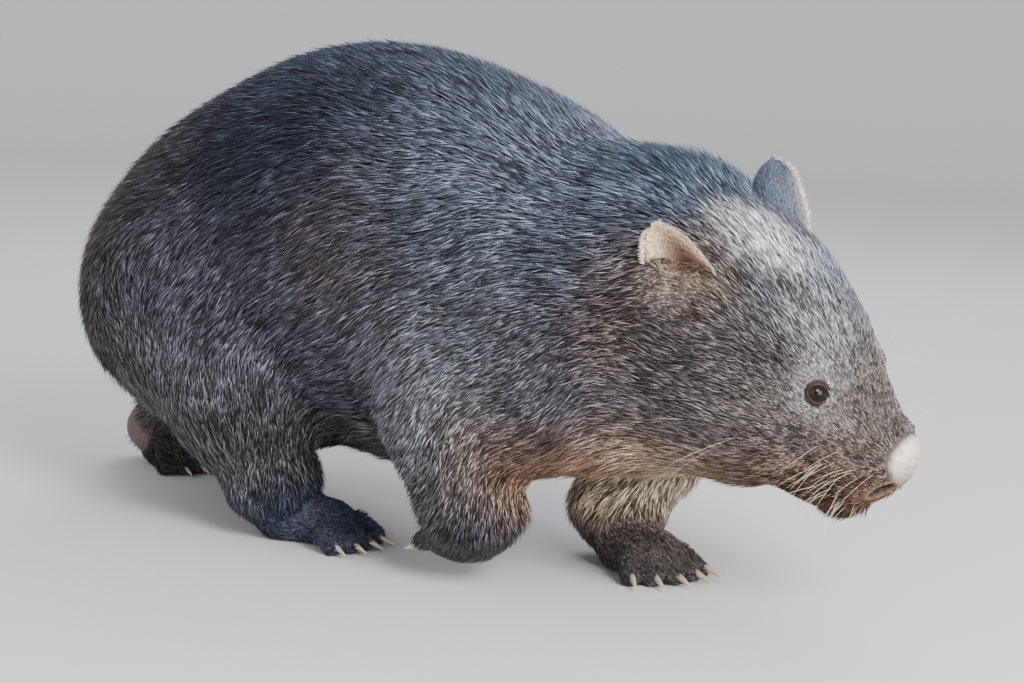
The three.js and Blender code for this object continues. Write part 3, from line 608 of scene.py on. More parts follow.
# The coat's ground colour: a dark slate grey, with a painted bluish sheen of sky light in it
colour = (0.035, 0.038, 0.06)
for name, middle, half, soft, strength, patch_colour in coat_colours:
    away = node(markings, "VectorMath", {0: moved, 1: tuple(to_row(middle))}, operation="SUBTRACT")
    size = tuple(np.array(half) * 0.001)
    scaled = node(markings, "VectorMath", {0: away.outputs[0], 1: size}, operation="DIVIDE")
    reach = node(markings, "VectorMath", {0: scaled.outputs[0]}, operation="LENGTH")
    mask = ranged(markings, reach.outputs["Value"], 1 + soft, 1 - soft, 0.0, strength, label=name,
                  interpolation_type="SMOOTHSTEP")
    colour = mixed(markings, mask, colour, patch_colour)
dapple = noise(markings, entry, 34.0, 4.0, Roughness=0.6)
tinted = dimmed(markings, colour, ranged(markings, dapple, 0.3, 0.7, 0.66, 1.36))
exit_node = markings.nodes.new("NodeGroupOutput")
markings.links.new(tinted, exit_node.inputs["Color"])


def material(name, roughness, specular=0.4):
    made = bpy.data.materials.new(name)
    made.use_nodes = True
    tree = made.node_tree
    shader = tree.nodes["Principled BSDF"]
    shader.inputs["Roughness"].default_value = roughness
    shader.inputs["Specular IOR Level"].default_value = specular
    return made, tree, shader


def marked(tree):
    place = node(tree, "TexCoord").outputs["Object"]
    group = tree.nodes.new("ShaderNodeGroup")
    group.node_tree = markings
    tree.links.new(place, group.inputs["Position"])
    return place, group.outputs["Color"]


hide_material, tree, shader = material("hide", 0.62, 0.3)
place, coat = marked(tree)
grain = noise(tree, place, 900.0, 3.0)
under = mixed(tree, grain, dimmed(tree, coat, 0.55), (0.02, 0.016, 0.014))
bare = noise(tree, place, 160.0, 5.0)
ivory = mixed(tree, bare, (0.84, 0.79, 0.69), (0.6, 0.52, 0.42))
spots = ranged(tree, noise(tree, place, 170.0, 5.0, Roughness=0.75), 0.46, 0.62, 0.0, 0.75)
ivory = mixed(tree, spots, ivory, (0.33, 0.27, 0.22))
# The bare nose is painted lighter at its top and darker towards the mouth: painted shade, as from light falling
# from above
nose_low, nose_high = [float(to_row(from_head(spot))[2]) for spot in ((168, 0, -36), (158, 0, -6))]
height = node(tree, "SeparateXYZ", {0: place}).outputs["Z"]
ivory = mixed(tree, ranged(tree, height, nose_low, nose_high), (0.12, 0.095, 0.07), ivory)
skin_brown = mixed(tree, bare, (0.19, 0.135, 0.115), (0.1, 0.065, 0.055))


def worn(name):
    return node(tree, "Attribute", attribute_name=name).outputs["Fac"]


colour = mixed(tree, worn("sole"), under, skin_brown)
colour = mixed(tree, worn("ear_cup"), colour, (0.22, 0.14, 0.09))
colour = mixed(tree, worn("lips"), colour, (0.12, 0.07, 0.045))
colour = mixed(tree, worn("nose"), colour, ivory)
colour = mixed(tree, worn("nostril_rim"), colour, (0.13, 0.07, 0.032))
# The near-black in the nostrils is painted shade in their openings
colour = mixed(tree, worn("nostril"), colour, (0.004, 0.003, 0.002))
# The near-black along the line of the mouth is painted shade between the lips
colour = mixed(tree, worn("mouth"), colour, (0.018, 0.01, 0.008))
tree.links.new(colour, shader.inputs["Base Color"])
pebbles = node(tree, "TexVoronoi", {"Vector": place, "Scale": 300.0}, feature="SMOOTH_F1")
pebble_bump = node(tree, "Bump", {"Height": pebbles.outputs["Distance"], "Distance": 0.0014,
                                  "Strength": 0.9})
fine_bump = node(tree, "Bump", {"Height": grain, "Distance": 0.0004, "Strength": 0.5,
                                "Normal": pebble_bump.outputs["Normal"]})
tree.links.new(fine_bump.outputs["Normal"], shader.inputs["Normal"])
skin_mesh.materials.clear()
skin_mesh.materials.append(hide_material)
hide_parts(*flesh)
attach(skin, "root")


# The eyes. Each is a wet ball with a slightly raised cornea, a dark brown iris and a wide pupil.
def new_piece(name, points, faces, material):
    mesh = bpy.data.meshes.new(name)
    mesh.from_pydata([tuple(p) for p in points], [], [tuple(int(c) for c in f) for f in faces])
    mesh.polygons.foreach_set("use_smooth", np.ones(len(mesh.polygons), bool))
    mesh.materials.append(material)
    mesh.update()
    piece = bpy.data.objects.new(name, mesh)
    bpy.context.scene.collection.objects.link(piece)
    return piece


def grid_faces(rows, columns, closed=True):
    faces = []
    for row in range(rows - 1):
        for column in range(columns if closed else columns - 1):
            following = (column + 1) % columns
            faces.append((row * columns + column, row * columns + following,
                          (row + 1) * columns + following, (row + 1) * columns + column))
    return faces


eye_material, tree, shader = material("wet_eye", 0.2, 0.06)
shader.inputs["Coat Weight"].default_value = 0.6
shader.inputs["Coat Roughness"].default_value = 0.03
shader.inputs["Coat IOR"].default_value = 1.25
off_axis = worn("off_axis")
place = node(tree, "TexCoord").outputs["Object"]
iris = mixed(tree, noise(tree, place, 1400.0, 3.0), (0.016, 0.008, 0.005), (0.006, 0.003, 0.003))
# Angles from the eye's axis, in radians
colour = mixed(tree, ranged(tree, off_axis, 0.3, 0.36), (0.004, 0.003, 0.003), iris)
colour = mixed(tree, ranged(tree, off_axis, 0.66, 0.8), colour, (0.03, 0.016, 0.012))
tree.links.new(colour, shader.inputs["Base Color"])
eye_rings, eye_spokes, cornea = 32, 48, 0.55
for side, middle in eye_middles.items():
    way = eye_ways[side]
    ahead = unit(np.cross(way, [0, 0, 1]))
    above = np.cross(ahead, way)
    polar = np.linspace(0, pi, eye_rings + 2)
    around = np.linspace(0, 2 * pi, eye_spokes, endpoint=False)
    radius = EYE_RADIUS + cornea * (1 - smooth(0.2, 0.62, polar))
    flat = (np.sin(polar) * radius)[:, None, None]
    points = (middle + (np.cos(polar) * radius)[:, None, None] * way
              + flat * (np.cos(around)[None, :, None] * ahead + np.sin(around)[None, :, None] * above))
    points = points[1:-1].reshape(-1, 3)
    poles = np.array([middle + way * radius[0], middle - way * radius[-1]])
    faces = grid_faces(eye_rings, eye_spokes)
    first, last = len(points), len(points) + 1
    last_ring = (eye_rings - 1) * eye_spokes
    for n in range(eye_spokes):
        following = (n + 1) % eye_spokes
        faces.append((first, following, n))
        faces.append((last, last_ring + n, last_ring + following))
    eye = new_piece(f"eye_ball_{side}", to_row(np.vstack([points, poles])), faces, eye_material)
    store(eye.data, "off_axis", np.concatenate([np.repeat(polar[1:-1], eye_spokes), [0, pi]]))
    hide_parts(f"eye_{side}")
    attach(eye, "root")

# The lids. A thin almond fold of skin round each eye, with a bare, damp, reddish-brown margin.
lid_material, tree, shader = material("lid_skin", 0.5, 0.18)
place, coat = marked(tree)
creases = noise(tree, place, 700.0, 4.0)
margin = mixed(tree, creases, (0.009, 0.005, 0.004), (0.03, 0.015, 0.01))
colour = mixed(tree, worn("margin"), dimmed(tree, coat, 0.6), margin)
tree.links.new(colour, shader.inputs["Base Color"])
crease_bump = node(tree, "Bump", {"Height": creases, "Distance": 0.0005, "Strength": 0.6})
tree.links.new(crease_bump.outputs["Normal"], shader.inputs["Normal"])


def skin_level(points):
    return body_mass(points) + coat_depth(points)


lid_columns = 72
for side, middle in eye_middles.items():
    way = eye_ways[side]
    ahead = unit(np.cross(way, [0, 0, 1]))
    above = np.cross(ahead, way)
    above = above * np.sign(above[2])
    # The corner of the eye that faces the nose lies lower
    tilt = radians(14)
    front = ahead if ahead @ head_forward > 0 else -ahead
    along_lid = front * cos(tilt) - above * sin(tilt)
    over_lid = above * cos(tilt) + front * sin(tilt)
    around = np.linspace(0, 2 * pi, lid_columns, endpoint=False)
    open_wide = EYE_RADIUS * sin(radians(47))
    open_high = EYE_RADIUS * sin(radians(35))
    across = np.cos(around) * open_wide
    over = np.sin(around) * np.abs(np.sin(around)) ** 0.35 * open_high
    opening = np.hypot(across, over)
    spokes = unit(across[:, None] * along_lid + over[:, None] * over_lid)
    rows, margins = [], []
    # How far outside the opening, how high, how much it follows the skin, and how bare and damp
    for extra, lift, on_skin, wet in [
        (-0.7, 0.05, 0.0, 1.0), (-0.35, 0.75, 0.0, 1.0), (0.4, 1.3, 0.0, 1.0), (1.6, 1.4, 0.05, 1.0),
        (3.2, 1.2, 0.35, 0.9), (5.0, 0.9, 0.75, 0.6), (7.5, 0.2, 1.0, 0.15), (10.5, -1.2, 1.0, 0.0),
    ]:
        reach = opening + extra
        flat = middle + spokes * reach[:, None]
        ball = np.sqrt(np.maximum(EYE_RADIUS**2 - reach**2, 4)) + lift
        points = flat + 9 * way
        for _ in range(25):
            points = points - 0.8 * skin_level(points)[:, None] * way
        hide_height = (points - middle) @ way + 4.0 * np.exp(-((reach / 12.5) ** 2)) + lift
        height = ball * (1 - on_skin) + hide_height * on_skin
        rows.append(flat + height[:, None] * way)
        margins += [wet] * lid_columns
    faces = grid_faces(len(rows), lid_columns)
    lid = new_piece(f"lids_{side}", to_row(np.vstack(rows)), faces, lid_material)
    store(lid.data, "margin", margins)
    bm = bmesh.new()
    bm.from_mesh(lid.data)
    outward_sum = sum(face.normal.dot(Vector(way)) * face.calc_area() for face in bm.faces)
    if outward_sum < 0:
        bmesh.ops.reverse_faces(bm, faces=bm.faces)
    bm.to_mesh(lid.data)
    bm.free()
    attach(lid, "root")


def face_outwards(mesh):
    bm = bmesh.new()
    bm.from_mesh(mesh)
    bmesh.ops.recalc_face_normals(bm, faces=bm.faces)
    bm.to_mesh(mesh)
    bm.free()


# The ears. Each is a thin leaf of gristle and skin, curled round its long axis and open to the side.
EAR_CURL, EAR_SUNK = 17, 20
ear_rows, ear_columns = 26, 25
ear_material, tree, shader = material("ear_skin", 0.6, 0.35)
shader.inputs["Subsurface Weight"].default_value = 0.12
shader.inputs["Subsurface Radius"].default_value = (0.008, 0.003, 0.002)
place = node(tree, "TexCoord").outputs["Object"]
veins = noise(tree, place, 130.0, 5.0, Distortion=0.6)
inside = mixed(tree, veins, (0.78, 0.6, 0.44), (0.52, 0.36, 0.25))
# Deep in the ear's hollow the inside is darkened brown: painted shade
inside = mixed(tree, worn("hollow"), inside, (0.15, 0.085, 0.05))
outside = mixed(tree, veins, (0.11, 0.125, 0.165), (0.07, 0.075, 0.09))
colour = mixed(tree, worn("ear_back"), inside, outside)
tree.links.new(colour, shader.inputs["Base Color"])
vein_bump = node(tree, "Bump", {"Height": veins, "Distance": 0.0012, "Strength": 0.5})
tree.links.new(vein_bump.outputs["Normal"], shader.inputs["Normal"])
ear_surfaces = {}
for side, (root, ear_up, ear_across, ear_out) in ear_frames.items():
    ear_height, ear_width = ears[side][:2]
    base = root - ear_up * EAR_SUNK
    v = 0.99 * np.sin(pi / 2 * np.linspace(0, 1, ear_rows))[:, None]
    u = np.linspace(-1, 1, ear_columns)[None]
    narrow = (1 - v**3) ** 0.5 * (0.86 + 0.14 * np.sin(pi * np.minimum(1, 1.4 * v)))
    half = 0.5 * ear_width * narrow
    curl = EAR_CURL * (1 - 0.45 * v) * narrow
    leaf = []
    for thickness in (0, 2.6):
        thick = thickness * (1 - 0.5 * u**2) * (1 - 0.35 * v)
        bow = curl * (1 - u * u) + thick - 0.35 * curl
        # The edge is a little wavy, and folds inwards near the root
        wave = 0.8 * np.sin(7 * v + 2 * u) * np.abs(u)
        leaf.append(base + (v * (ear_height + EAR_SUNK))[..., None] * ear_up
                    + (half * u)[..., None] * ear_across - (bow + wave)[..., None] * ear_out)
    count = ear_rows * ear_columns
    faces = [face[::-1] for face in grid_faces(ear_rows, ear_columns, closed=False)]
    back_faces = grid_faces(ear_rows, ear_columns, closed=False)
    faces += [tuple(corner + count for corner in face) for face in back_faces]
    tip_row = (ear_rows - 1) * ear_columns
    rim = [n * ear_columns for n in range(ear_rows)]
    rim += [tip_row + n for n in range(1, ear_columns)]
    rim += [n * ear_columns + ear_columns - 1 for n in range(ear_rows - 2, -1, -1)]
    rim += list(range(ear_columns - 2, 0, -1))
    for start, end in zip(rim, rim[1:] + rim[:1]):
        faces.append((start, end, end + count, start + count))
    points = np.vstack([surface.reshape(-1, 3) for surface in leaf])
    ear = new_piece(f"ear_leaf_{side}", to_row(points), faces, ear_material)
    face_outwards(ear.data)
    # How deep in the ear's hollow each point lies, where the painted shade darkens the inside
    hollow = np.clip(1.15 - np.hypot(u / 0.55, (v - 0.34) / 0.42), 0, 1) ** 0.7
    store(ear.data, "hollow", np.concatenate([hollow.ravel(), 0 * hollow.ravel()]))
    store(ear.data, "ear_back", np.repeat([0.0, 1.0], count))
    ear_surfaces[side] = (leaf, root, ear_up, ear_across, ear_out, hollow)
    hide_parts(f"ear_{side}")
    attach(ear, "root")

# The claws. Long, blunt, slightly curved horns for digging, worn pale at the tips and stained at the roots.
claw_radius = {"fore": 4.3, "hind": 3.9}
claw_material, tree, shader = material("claw_horn", 0.42, 0.5)
place = node(tree, "TexCoord").outputs["Object"]
growth = noise(tree, place, 260.0, 4.0, Distortion=0.4)
horn = mixed(tree, growth, (0.3, 0.24, 0.17), (0.52, 0.45, 0.34))
colour = mixed(tree, worn("claw_along"), (0.11, 0.08, 0.06), horn)
tree.links.new(colour, shader.inputs["Base Color"])
claw_bump = node(tree, "Bump", {"Height": growth, "Distance": 0.0006, "Strength": 0.5})
tree.links.new(claw_bump.outputs["Normal"], shader.inputs["Normal"])
claw_sides, claw_rings = 12, 11
for foot in feet:
    size, claw_length = claw_radius[foot[:4]], feet[foot].claw
    points, faces, along_values = [], [], []
    for number, (way, up, root, end) in enumerate(toes_of(foot)):
        if number == feet[foot].bare_toe:
            continue
        start = end + up * 0.15 * toe_radius[foot[:4]]
        depth = 0.5 * toe_radius[foot[:4]]
        beside = np.cross(up, way)
        first = len(points)
        for t in np.linspace(0, 1, claw_rings):
            middle = start + way * (-depth + (claw_length + depth) * t) - up * 0.28 * claw_length * t**2
            across = size * (1 - 0.84 * t**1.5)
            for n in range(claw_sides):
                turn = 2 * pi * n / claw_sides
                points.append(middle + beside * 0.82 * across * cos(turn) + up * across * sin(turn))
                along_values.append(t**0.6)
        last_ring = first + (claw_rings - 1) * claw_sides
        faces += [tuple(first + c for c in face) for face in grid_faces(claw_rings, claw_sides)]
        faces.append(tuple(first + n for n in range(claw_sides - 1, -1, -1)))
        faces.append(tuple(last_ring + n for n in range(claw_sides)))
    points = np.array(points)
    points[:, 2] = np.maximum(points[:, 2], 0.3)
    claws = new_piece(f"{foot}_claws", to_row(points), faces, claw_material)
    face_outwards(claws.data)
    store(claws.data, "claw_along", along_values)
    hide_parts(*[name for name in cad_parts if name.startswith(f"{foot}_claw_")])
    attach(claws, "root")

# The coat. Coarse, flat guard hairs stand in thin pointed tufts, dark at the root and banded pale and dark
# towards the tip. They lie back from the nose, over the body and down the legs, and are shortest on the
# face, the feet and the ears.
skin_mesh.calc_loop_triangles()
triangles = read(skin_mesh.loop_triangles, "vertices", 3, int)
triangle_loops = read(skin_mesh.loop_triangles, "loops", 3, int)
layout = read(skin_mesh.uv_layers["OFBake"].data, "uv", 2)
hide_normals = read(skin_mesh.vertices, "normal", 3)
corners = skin_points[triangles]
areas = 0.5 * np.linalg.norm(np.cross(corners[:, 1] - corners[:, 0], corners[:, 2] - corners[:, 0]), axis=1)
middles = corners.mean(axis=1)
nose_tip = from_head([176, 0, -20])


def region_weights(points):
    # Shares of the face, the legs and the feet at each point
    forward, left, up = to_head(points).T
    face = smooth(-75, -10, forward) * smooth(50, 110, points[:, 2])
    trunk = trunk_mass(points)
    leg = np.zeros(len(points))
    leg_way = np.zeros((len(points), 3))
    for joints in leg_joints.values():
        for (start, start_radius), (end, end_radius) in zip(joints, joints[1:]):
            start, end = np.array(start, float), np.array(end, float)
            near = smooth(40, -4, taper(points, start, end, start_radius, end_radius))
            leg_way += near[:, None] * unit(end - start)
            leg = np.maximum(leg, near)
    leg *= smooth(-25, 30, trunk) * (1 - face)
    foot = np.zeros(len(points))
    foot_way = np.zeros((len(points), 3))
    for name in feet:
        near = smooth(22, 0, foot_mass(points, name))
        foot_way += near[:, None] * foot_ways(name)[0]
        foot = np.maximum(foot, near)
    return face, leg, unit(leg_way), foot * (1 - face), unit(foot_way)


def coat_way(points, normals, weights):
    face, leg, leg_way, foot, foot_way = [w if w.ndim > 1 else w[:, None] for w in weights]
    side = 1 - np.abs(normals[:, 2:]) ** 1.5
    droop = 0.7 + 0.75 * smooth(80, -300, points[:, :1])
    back = np.tile([-1.0, 0, 0], (len(points), 1)) - side * droop * [0, 0, 1]
    rump = smooth(-230, -350, points[:, 0])[:, None]
    back = back * (1 - rump) + rump * (np.array([-0.35, 0, -1.0]) + 0.5 * normals * [1, 1, 0])
    head = unit(points - nose_tip)
    near_nose = smooth(260, 120, np.linalg.norm(points - nose_tip, axis=1))[:, None]
    head = unit(head * (1 - 0.35 * (1 - near_nose)) - 0.35 * (1 - near_nose) * head_forward
                + side * [0, 0, -0.25] * (1 - near_nose))
    way = back * (1 - face) + head * face
    way = way * (1 - 0.85 * leg) + leg_way * 0.85 * leg
    way = way * (1 - foot) + (foot_way - 0.2 * np.array([0, 0, 1])) * foot
    wobble = np.stack([
        np.sin(points @ [0.043, 0.021, 0.037] + n) + 0.6 * np.sin(points @ [-0.09, 0.11, 0.07] + 2.1 * n)
        for n in (0.4, 1.9, 3.3)
    ], axis=1)
    way = way + 0.14 * wobble
    way = way - normals * np.sum(way * normals, axis=1, keepdims=True)
    return unit(way)


def hair_length(points, weights):
    face, leg, _, foot, _ = weights
    forward, left, up = to_head(points).T
    length = 25 + 4 * smooth(150, 90, points[:, 2])
    on_head = 19 - 4 * smooth(0, 70, forward) - 7.5 * smooth(70, 118, forward) + 5 * smooth(-20, -70, up)
    on_head -= 3 * smooth(10, 50, up) * smooth(-20, 40, forward)
    for middle in eye_middles.values():
        near = smooth(44, 17, np.linalg.norm(points - middle, axis=1))
        on_head = on_head * (1 - near) + 6.0 * near
    length = length * (1 - face) + np.maximum(on_head, 5.0) * face
    for _, root, ear_up, ear_across, ear_out, _ in ear_surfaces.values():
        near = smooth(44, 20, np.linalg.norm(points - root - 12 * ear_out, axis=1))
        length = length * (1 - near) + 8.0 * near
    length = length * (1 - 0.42 * leg)
    length = length * (1 - foot) + 6.5 * foot
    return np.where(points[:, 2] < 60, np.minimum(length, 6 + 0.22 * points[:, 2]), length)


def keep_clear(points, normals, corner):
    # Nothing grows on the nose, the line of the mouth, the lids and the soles
    clear = (corner(bare_nose) > 0.35) | (corner(nostril_area) > 0.4) | (corner(groove) > 0.75)
    clear |= (corner(sole) > 0.5) | ((points[:, 2] < 1.6) & (normals[:, 2] < -0.6))
    for side, middle in eye_middles.items():
        offset = points - middle
        height = offset @ eye_ways[side]
        clear |= (np.linalg.norm(offset - height[:, None] * eye_ways[side], axis=1) < 11.2) & (height > 0)
    return clear


def mesh_tufts(name, roots, normals, ways, lengths, halves, lifts, places, slot, hair, **marks):
    # Thin three-sided spearheads, rooted in the skin, widest at the middle and bent down to the tip
    count = len(roots)
    side = np.cross(normals, ways)
    start = roots - normals * 0.9
    half = halves[:, None]
    rise = (lengths * np.tan(lifts))[:, None]
    middle = start + ways * 0.48 * lengths[:, None] + normals * 0.58 * rise
    tip = start + ways * lengths[:, None] + normals * 0.92 * rise
    ridge = middle + normals * half * 0.75
    points = np.stack([start, middle + side * half, middle - side * half, ridge, tip], axis=1)
    # No hair pokes through the ground
    points[..., 2] = np.maximum(points[..., 2], 0.2)
    faces = np.array([(0, 2, 1), (0, 1, 3), (0, 3, 2), (1, 2, 4), (2, 3, 4), (3, 1, 4)])
    all_faces = (faces[None] + (np.arange(count) * 5)[:, None, None]).reshape(-1, 3)
    mesh = bpy.data.meshes.new(name)
    mesh.vertices.add(count * 5)
    mesh.vertices.foreach_set("co", to_row(points.reshape(-1, 3)).ravel())
    mesh.loops.add(all_faces.size)
    mesh.loops.foreach_set("vertex_index", all_faces.ravel())
    mesh.polygons.add(len(all_faces))
    mesh.polygons.foreach_set("loop_start", np.arange(len(all_faces)) * 3)
    mesh.polygons.foreach_set("use_smooth", np.ones(len(all_faces), bool))
    mesh.update(calc_edges=True)
    spread = 0.0015 * np.array([(0, -1), (1, 0), (-1, 0), (0, 0.2), (0, 1)])
    corner_places = places[:, None, None] + spread[faces][None]
    mesh.uv_layers.new(name="OFBake").data.foreach_set("uv", np.clip(corner_places, 0, 1).ravel())
    store(mesh, "tuft_along", np.tile([0.0, 0.5, 0.5, 0.5, 1.0], count))
    for mark, values in marks.items():
        store(mesh, mark, np.repeat(values, 5))
    mesh.materials.append(hair)
    piece = bpy.data.objects.new(name, mesh)
    bpy.context.scene.collection.objects.link(piece)
    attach(piece, "root")
    return piece


hair_material, tree, shader = material("guard_hair", 0.55, 0.2)
place, coat = marked(tree)
along_hair, tone = worn("tuft_along"), worn("tuft_tone")


def ramp(factor, interpolation, tint, stops):
    made = tree.nodes.new("ShaderNodeValToRGB")
    made.color_ramp.interpolation = interpolation
    for position, value in stops:
        stop = made.color_ramp.elements.new(position)
        stop.color = (value * tint[0], value * tint[1], value * tint[2], 1)
    made.color_ramp.elements.remove(made.color_ramp.elements[0])
    made.color_ramp.elements.remove(made.color_ramp.elements[-1])
    tree.links.new(factor, made.inputs["Fac"])
    return made.outputs["Color"]


# Each hair is banded from its root to its tip, and paler hairs stand among darker ones
band_stops = ((0.0, 0.25), (0.3, 0.5), (0.55, 1.25), (0.85, 1.4), (1.0, 0.7))
tone_stops = ((0.0, 0.16), (0.25, 0.4), (0.6, 0.92), (0.85, 1.9), (1.0, 3.5))
bands = ramp(along_hair, "EASE", (1, 1, 1), band_stops)
tones = ramp(tone, "LINEAR", (1, 0.985, 0.96), tone_stops)
banded = node(tree, "VectorMath", {0: coat, 1: bands}, operation="MULTIPLY").outputs[0]
ticked = node(tree, "VectorMath", {0: banded, 1: tones}, operation="MULTIPLY").outputs[0]
tree.links.new(ticked, shader.inputs["Base Color"])


def grow(name, density, most, width, lift, slot, hair, seed):
    # Scatters tufts over the skin by a density for each triangle, in tufts for a square millimetre
    random = np.random.default_rng(seed)
    mass = areas * density
    total = mass.sum()
    count = int(min(most, total))
    steps = (np.arange(count) + random.random(count)) / count * total
    chosen = np.searchsorted(np.cumsum(mass), steps)
    chosen = np.minimum(chosen, len(areas) - 1)
    a, b = random.random(count), random.random(count)
    folded = a + b > 1
    a, b = np.where(folded, 1 - a, a), np.where(folded, 1 - b, b)
    shares = np.stack([1 - a - b, a, b], axis=1)

    def corner(values):
        values = np.asarray(values)
        taken = values[triangles[chosen]]
        return (taken * (shares[..., None] if taken.ndim == 3 else shares)).sum(axis=1)

    roots = corner(skin_points)
    normals = unit(corner(hide_normals))
    places = (layout[triangle_loops[chosen]] * shares[..., None]).sum(axis=1)
    kept = ~keep_clear(roots, normals, corner)
    roots, normals, places = roots[kept], normals[kept], places[kept]
    count = len(roots)
    weights = region_weights(roots)
    ways = coat_way(roots, normals, weights)
    turn = random.normal(0, 0.16, count)[:, None]
    ways = ways * np.cos(turn) + np.cross(normals, ways) * np.sin(turn)
    lengths = hair_length(roots, weights) * random.uniform(0.75, 1.2, count)
    behind = smooth(-190, -320, roots[:, 0])
    lengths *= 1 + 0.2 * behind
    lifts = np.radians(lift + 7 * behind + random.normal(0, 3.2, count).clip(-6, 8))
    clump = np.floor(roots / 3.4 + 0.4 * np.sin(roots[:, [1, 2, 0]] / 2.3))
    clump_tone = np.sin(clump @ [127.1, 311.7, 74.7]) * 43758.5453 % 1
    tones = np.clip(0.5 + 1.6 * (0.5 * random.random(count) + 0.5 * clump_tone - 0.5), 0, 1)
    halves = np.minimum(width, 0.085 * lengths) * random.uniform(0.75, 1.25, count)
    # Each strip of the coat keeps under 192,000 triangles, at six for a tuft
    parts = int(np.ceil(count * 6 / 192000))
    order = np.argsort(roots[:, 0], kind="stable")
    for number, share in enumerate(np.array_split(order, parts)):
        mesh_tufts(f"{name}_{number + 1}", roots[share], normals[share], ways[share], lengths[share],
                   halves[share], lifts[share], places[share], slot, hair, tuft_tone=tones[share])


triangle_weights = region_weights(middles)
face, leg, _, foot, _ = triangle_weights
on_body = (1 - smooth(0.2, 0.75, face)) * (1 - smooth(0.3, 0.9, foot)) * (middles[:, 2] > 22)
on_face = smooth(0.15, 0.6, face)
on_face *= 0.7 + 1.3 * smooth(20, 110, to_head(middles)[:, 0])
on_feet = np.maximum(smooth(0.2, 0.7, foot), smooth(60, 30, middles[:, 2]))
quick = 1.0
grow("body_coat", 0.215 * on_body * quick, 152000, 0.54, 17, "coat_back", hair_material, 21)
grow("face_coat", 0.36 * on_face * quick, 56000, 0.44, 14, "coat_face", hair_material, 22)
grow("foot_coat", 0.4 * on_feet * quick, 29000, 0.42, 16, "coat_limb", hair_material, 23)

# The hair of the ears: a short slate nap behind, buff hair inside that fans out to a pale fringe, darkened deep
# in the hollow by painted shade
ear_hair_material, tree, shader = material("ear_hair", 0.5, 0.35)
shade = ranged(tree, worn("tuft_tone"), 0.0, 1.0, 0.65, 2.0)
root_shade = ranged(tree, worn("tuft_along"), 0.0, 1.0, 0.55, 1.15)
strength = node(tree, "Math", {0: shade, 1: root_shade}, operation="MULTIPLY").outputs[0]
colour = mixed(tree, worn("tuft_back"), (0.86, 0.66, 0.47), (0.085, 0.105, 0.15))
# The hair deep in the ear's hollow is darkened brown: painted shade
colour = mixed(tree, worn("tuft_hollow"), colour, (0.13, 0.075, 0.045))
colour = mixed(tree, worn("tuft_rim"), colour, (0.6, 0.53, 0.44))
tree.links.new(dimmed(tree, colour, strength), shader.inputs["Base Color"])
# On each side of each ear
ear_hairs = 3600
for side, (leaf, root, ear_up, ear_across, ear_out, hollow) in ear_surfaces.items():
    random = np.random.default_rng(31 if side == "left" else 32)
    picks = []
    for is_back, surface in enumerate(leaf):
        count = ear_hairs
        row = (ear_rows - 1.001) * random.random(count) ** 0.8
        column = (ear_columns - 1.001) * random.random(count)
        if is_back == 0:
            at_rim = random.random(count) < 0.12
            either_edge = np.where(random.random(count) < 0.5, 0.0, ear_columns - 1.001)
            column = np.where(at_rim, either_edge, column)
        r, c = row.astype(int), column.astype(int)
        dr, dc = (row - r)[:, None], (column - c)[:, None]
        near = surface[r, c] * (1 - dc) + surface[r, c + 1] * dc
        far = surface[r + 1, c] * (1 - dc) + surface[r + 1, c + 1] * dc
        points = near * (1 - dr) + far * dr
        normals = unit(np.cross(surface[r, c + 1] - surface[r, c], surface[r + 1, c] - surface[r, c]))
        facing = ear_out if is_back == 0 else -ear_out
        normals = normals * np.sign(np.sum(normals * facing, axis=1))[:, None]
        u = column / (ear_columns - 1) * 2 - 1
        rim = smooth(0.86, 1.0, np.maximum(np.abs(u), row / (ear_rows - 1)))
        ways = unit(unit(far - near) + (0.35 * u + 0.9 * rim * np.sign(u))[:, None] * ear_across)
        ways = unit(ways - normals * np.sum(ways * normals, axis=1, keepdims=True))
        length = np.where(is_back, 5.5, 6.0 + 2.5 * (1 - row / ear_rows)) * random.uniform(0.7, 1.2, count)
        dark = hollow[r, c] * (1 - is_back)
        places = np.stack([0.02 + 0.23 * (u + 1) + 0.5 * is_back, 0.02 + 0.96 * row / ear_rows], axis=1)
        picks.append((points, normals, ways, length, np.full(count, float(is_back)), dark,
                      rim * (1 - 0.6 * is_back), places))
    picks = [np.concatenate(part) for part in zip(*picks)]
    outside_skin = skin_level(picks[0]) > -1.0
    points, normals, ways, length, is_back, dark, rim, places = [part[outside_skin] for part in picks]
    count = len(points)
    mesh_tufts(f"ear_coat_{side}", points, normals, ways, length, random.uniform(0.25, 0.42, count),
               np.radians(random.uniform(8, 24, count)), places, "ear", ear_hair_material,
               tuft_tone=random.random(count), tuft_back=is_back, tuft_hollow=dark, tuft_rim=rim)

# The whiskers: stiff white bristles on the muzzle, cheeks, brow, bridge of the nose and chin
whisker_material, tree, shader = material("whisker", 0.35, 0.5)
bristle = mixed(tree, worn("tuft_along"), (0.5, 0.45, 0.38), (0.85, 0.84, 0.8))
tree.links.new(bristle, shader.inputs["Base Color"])
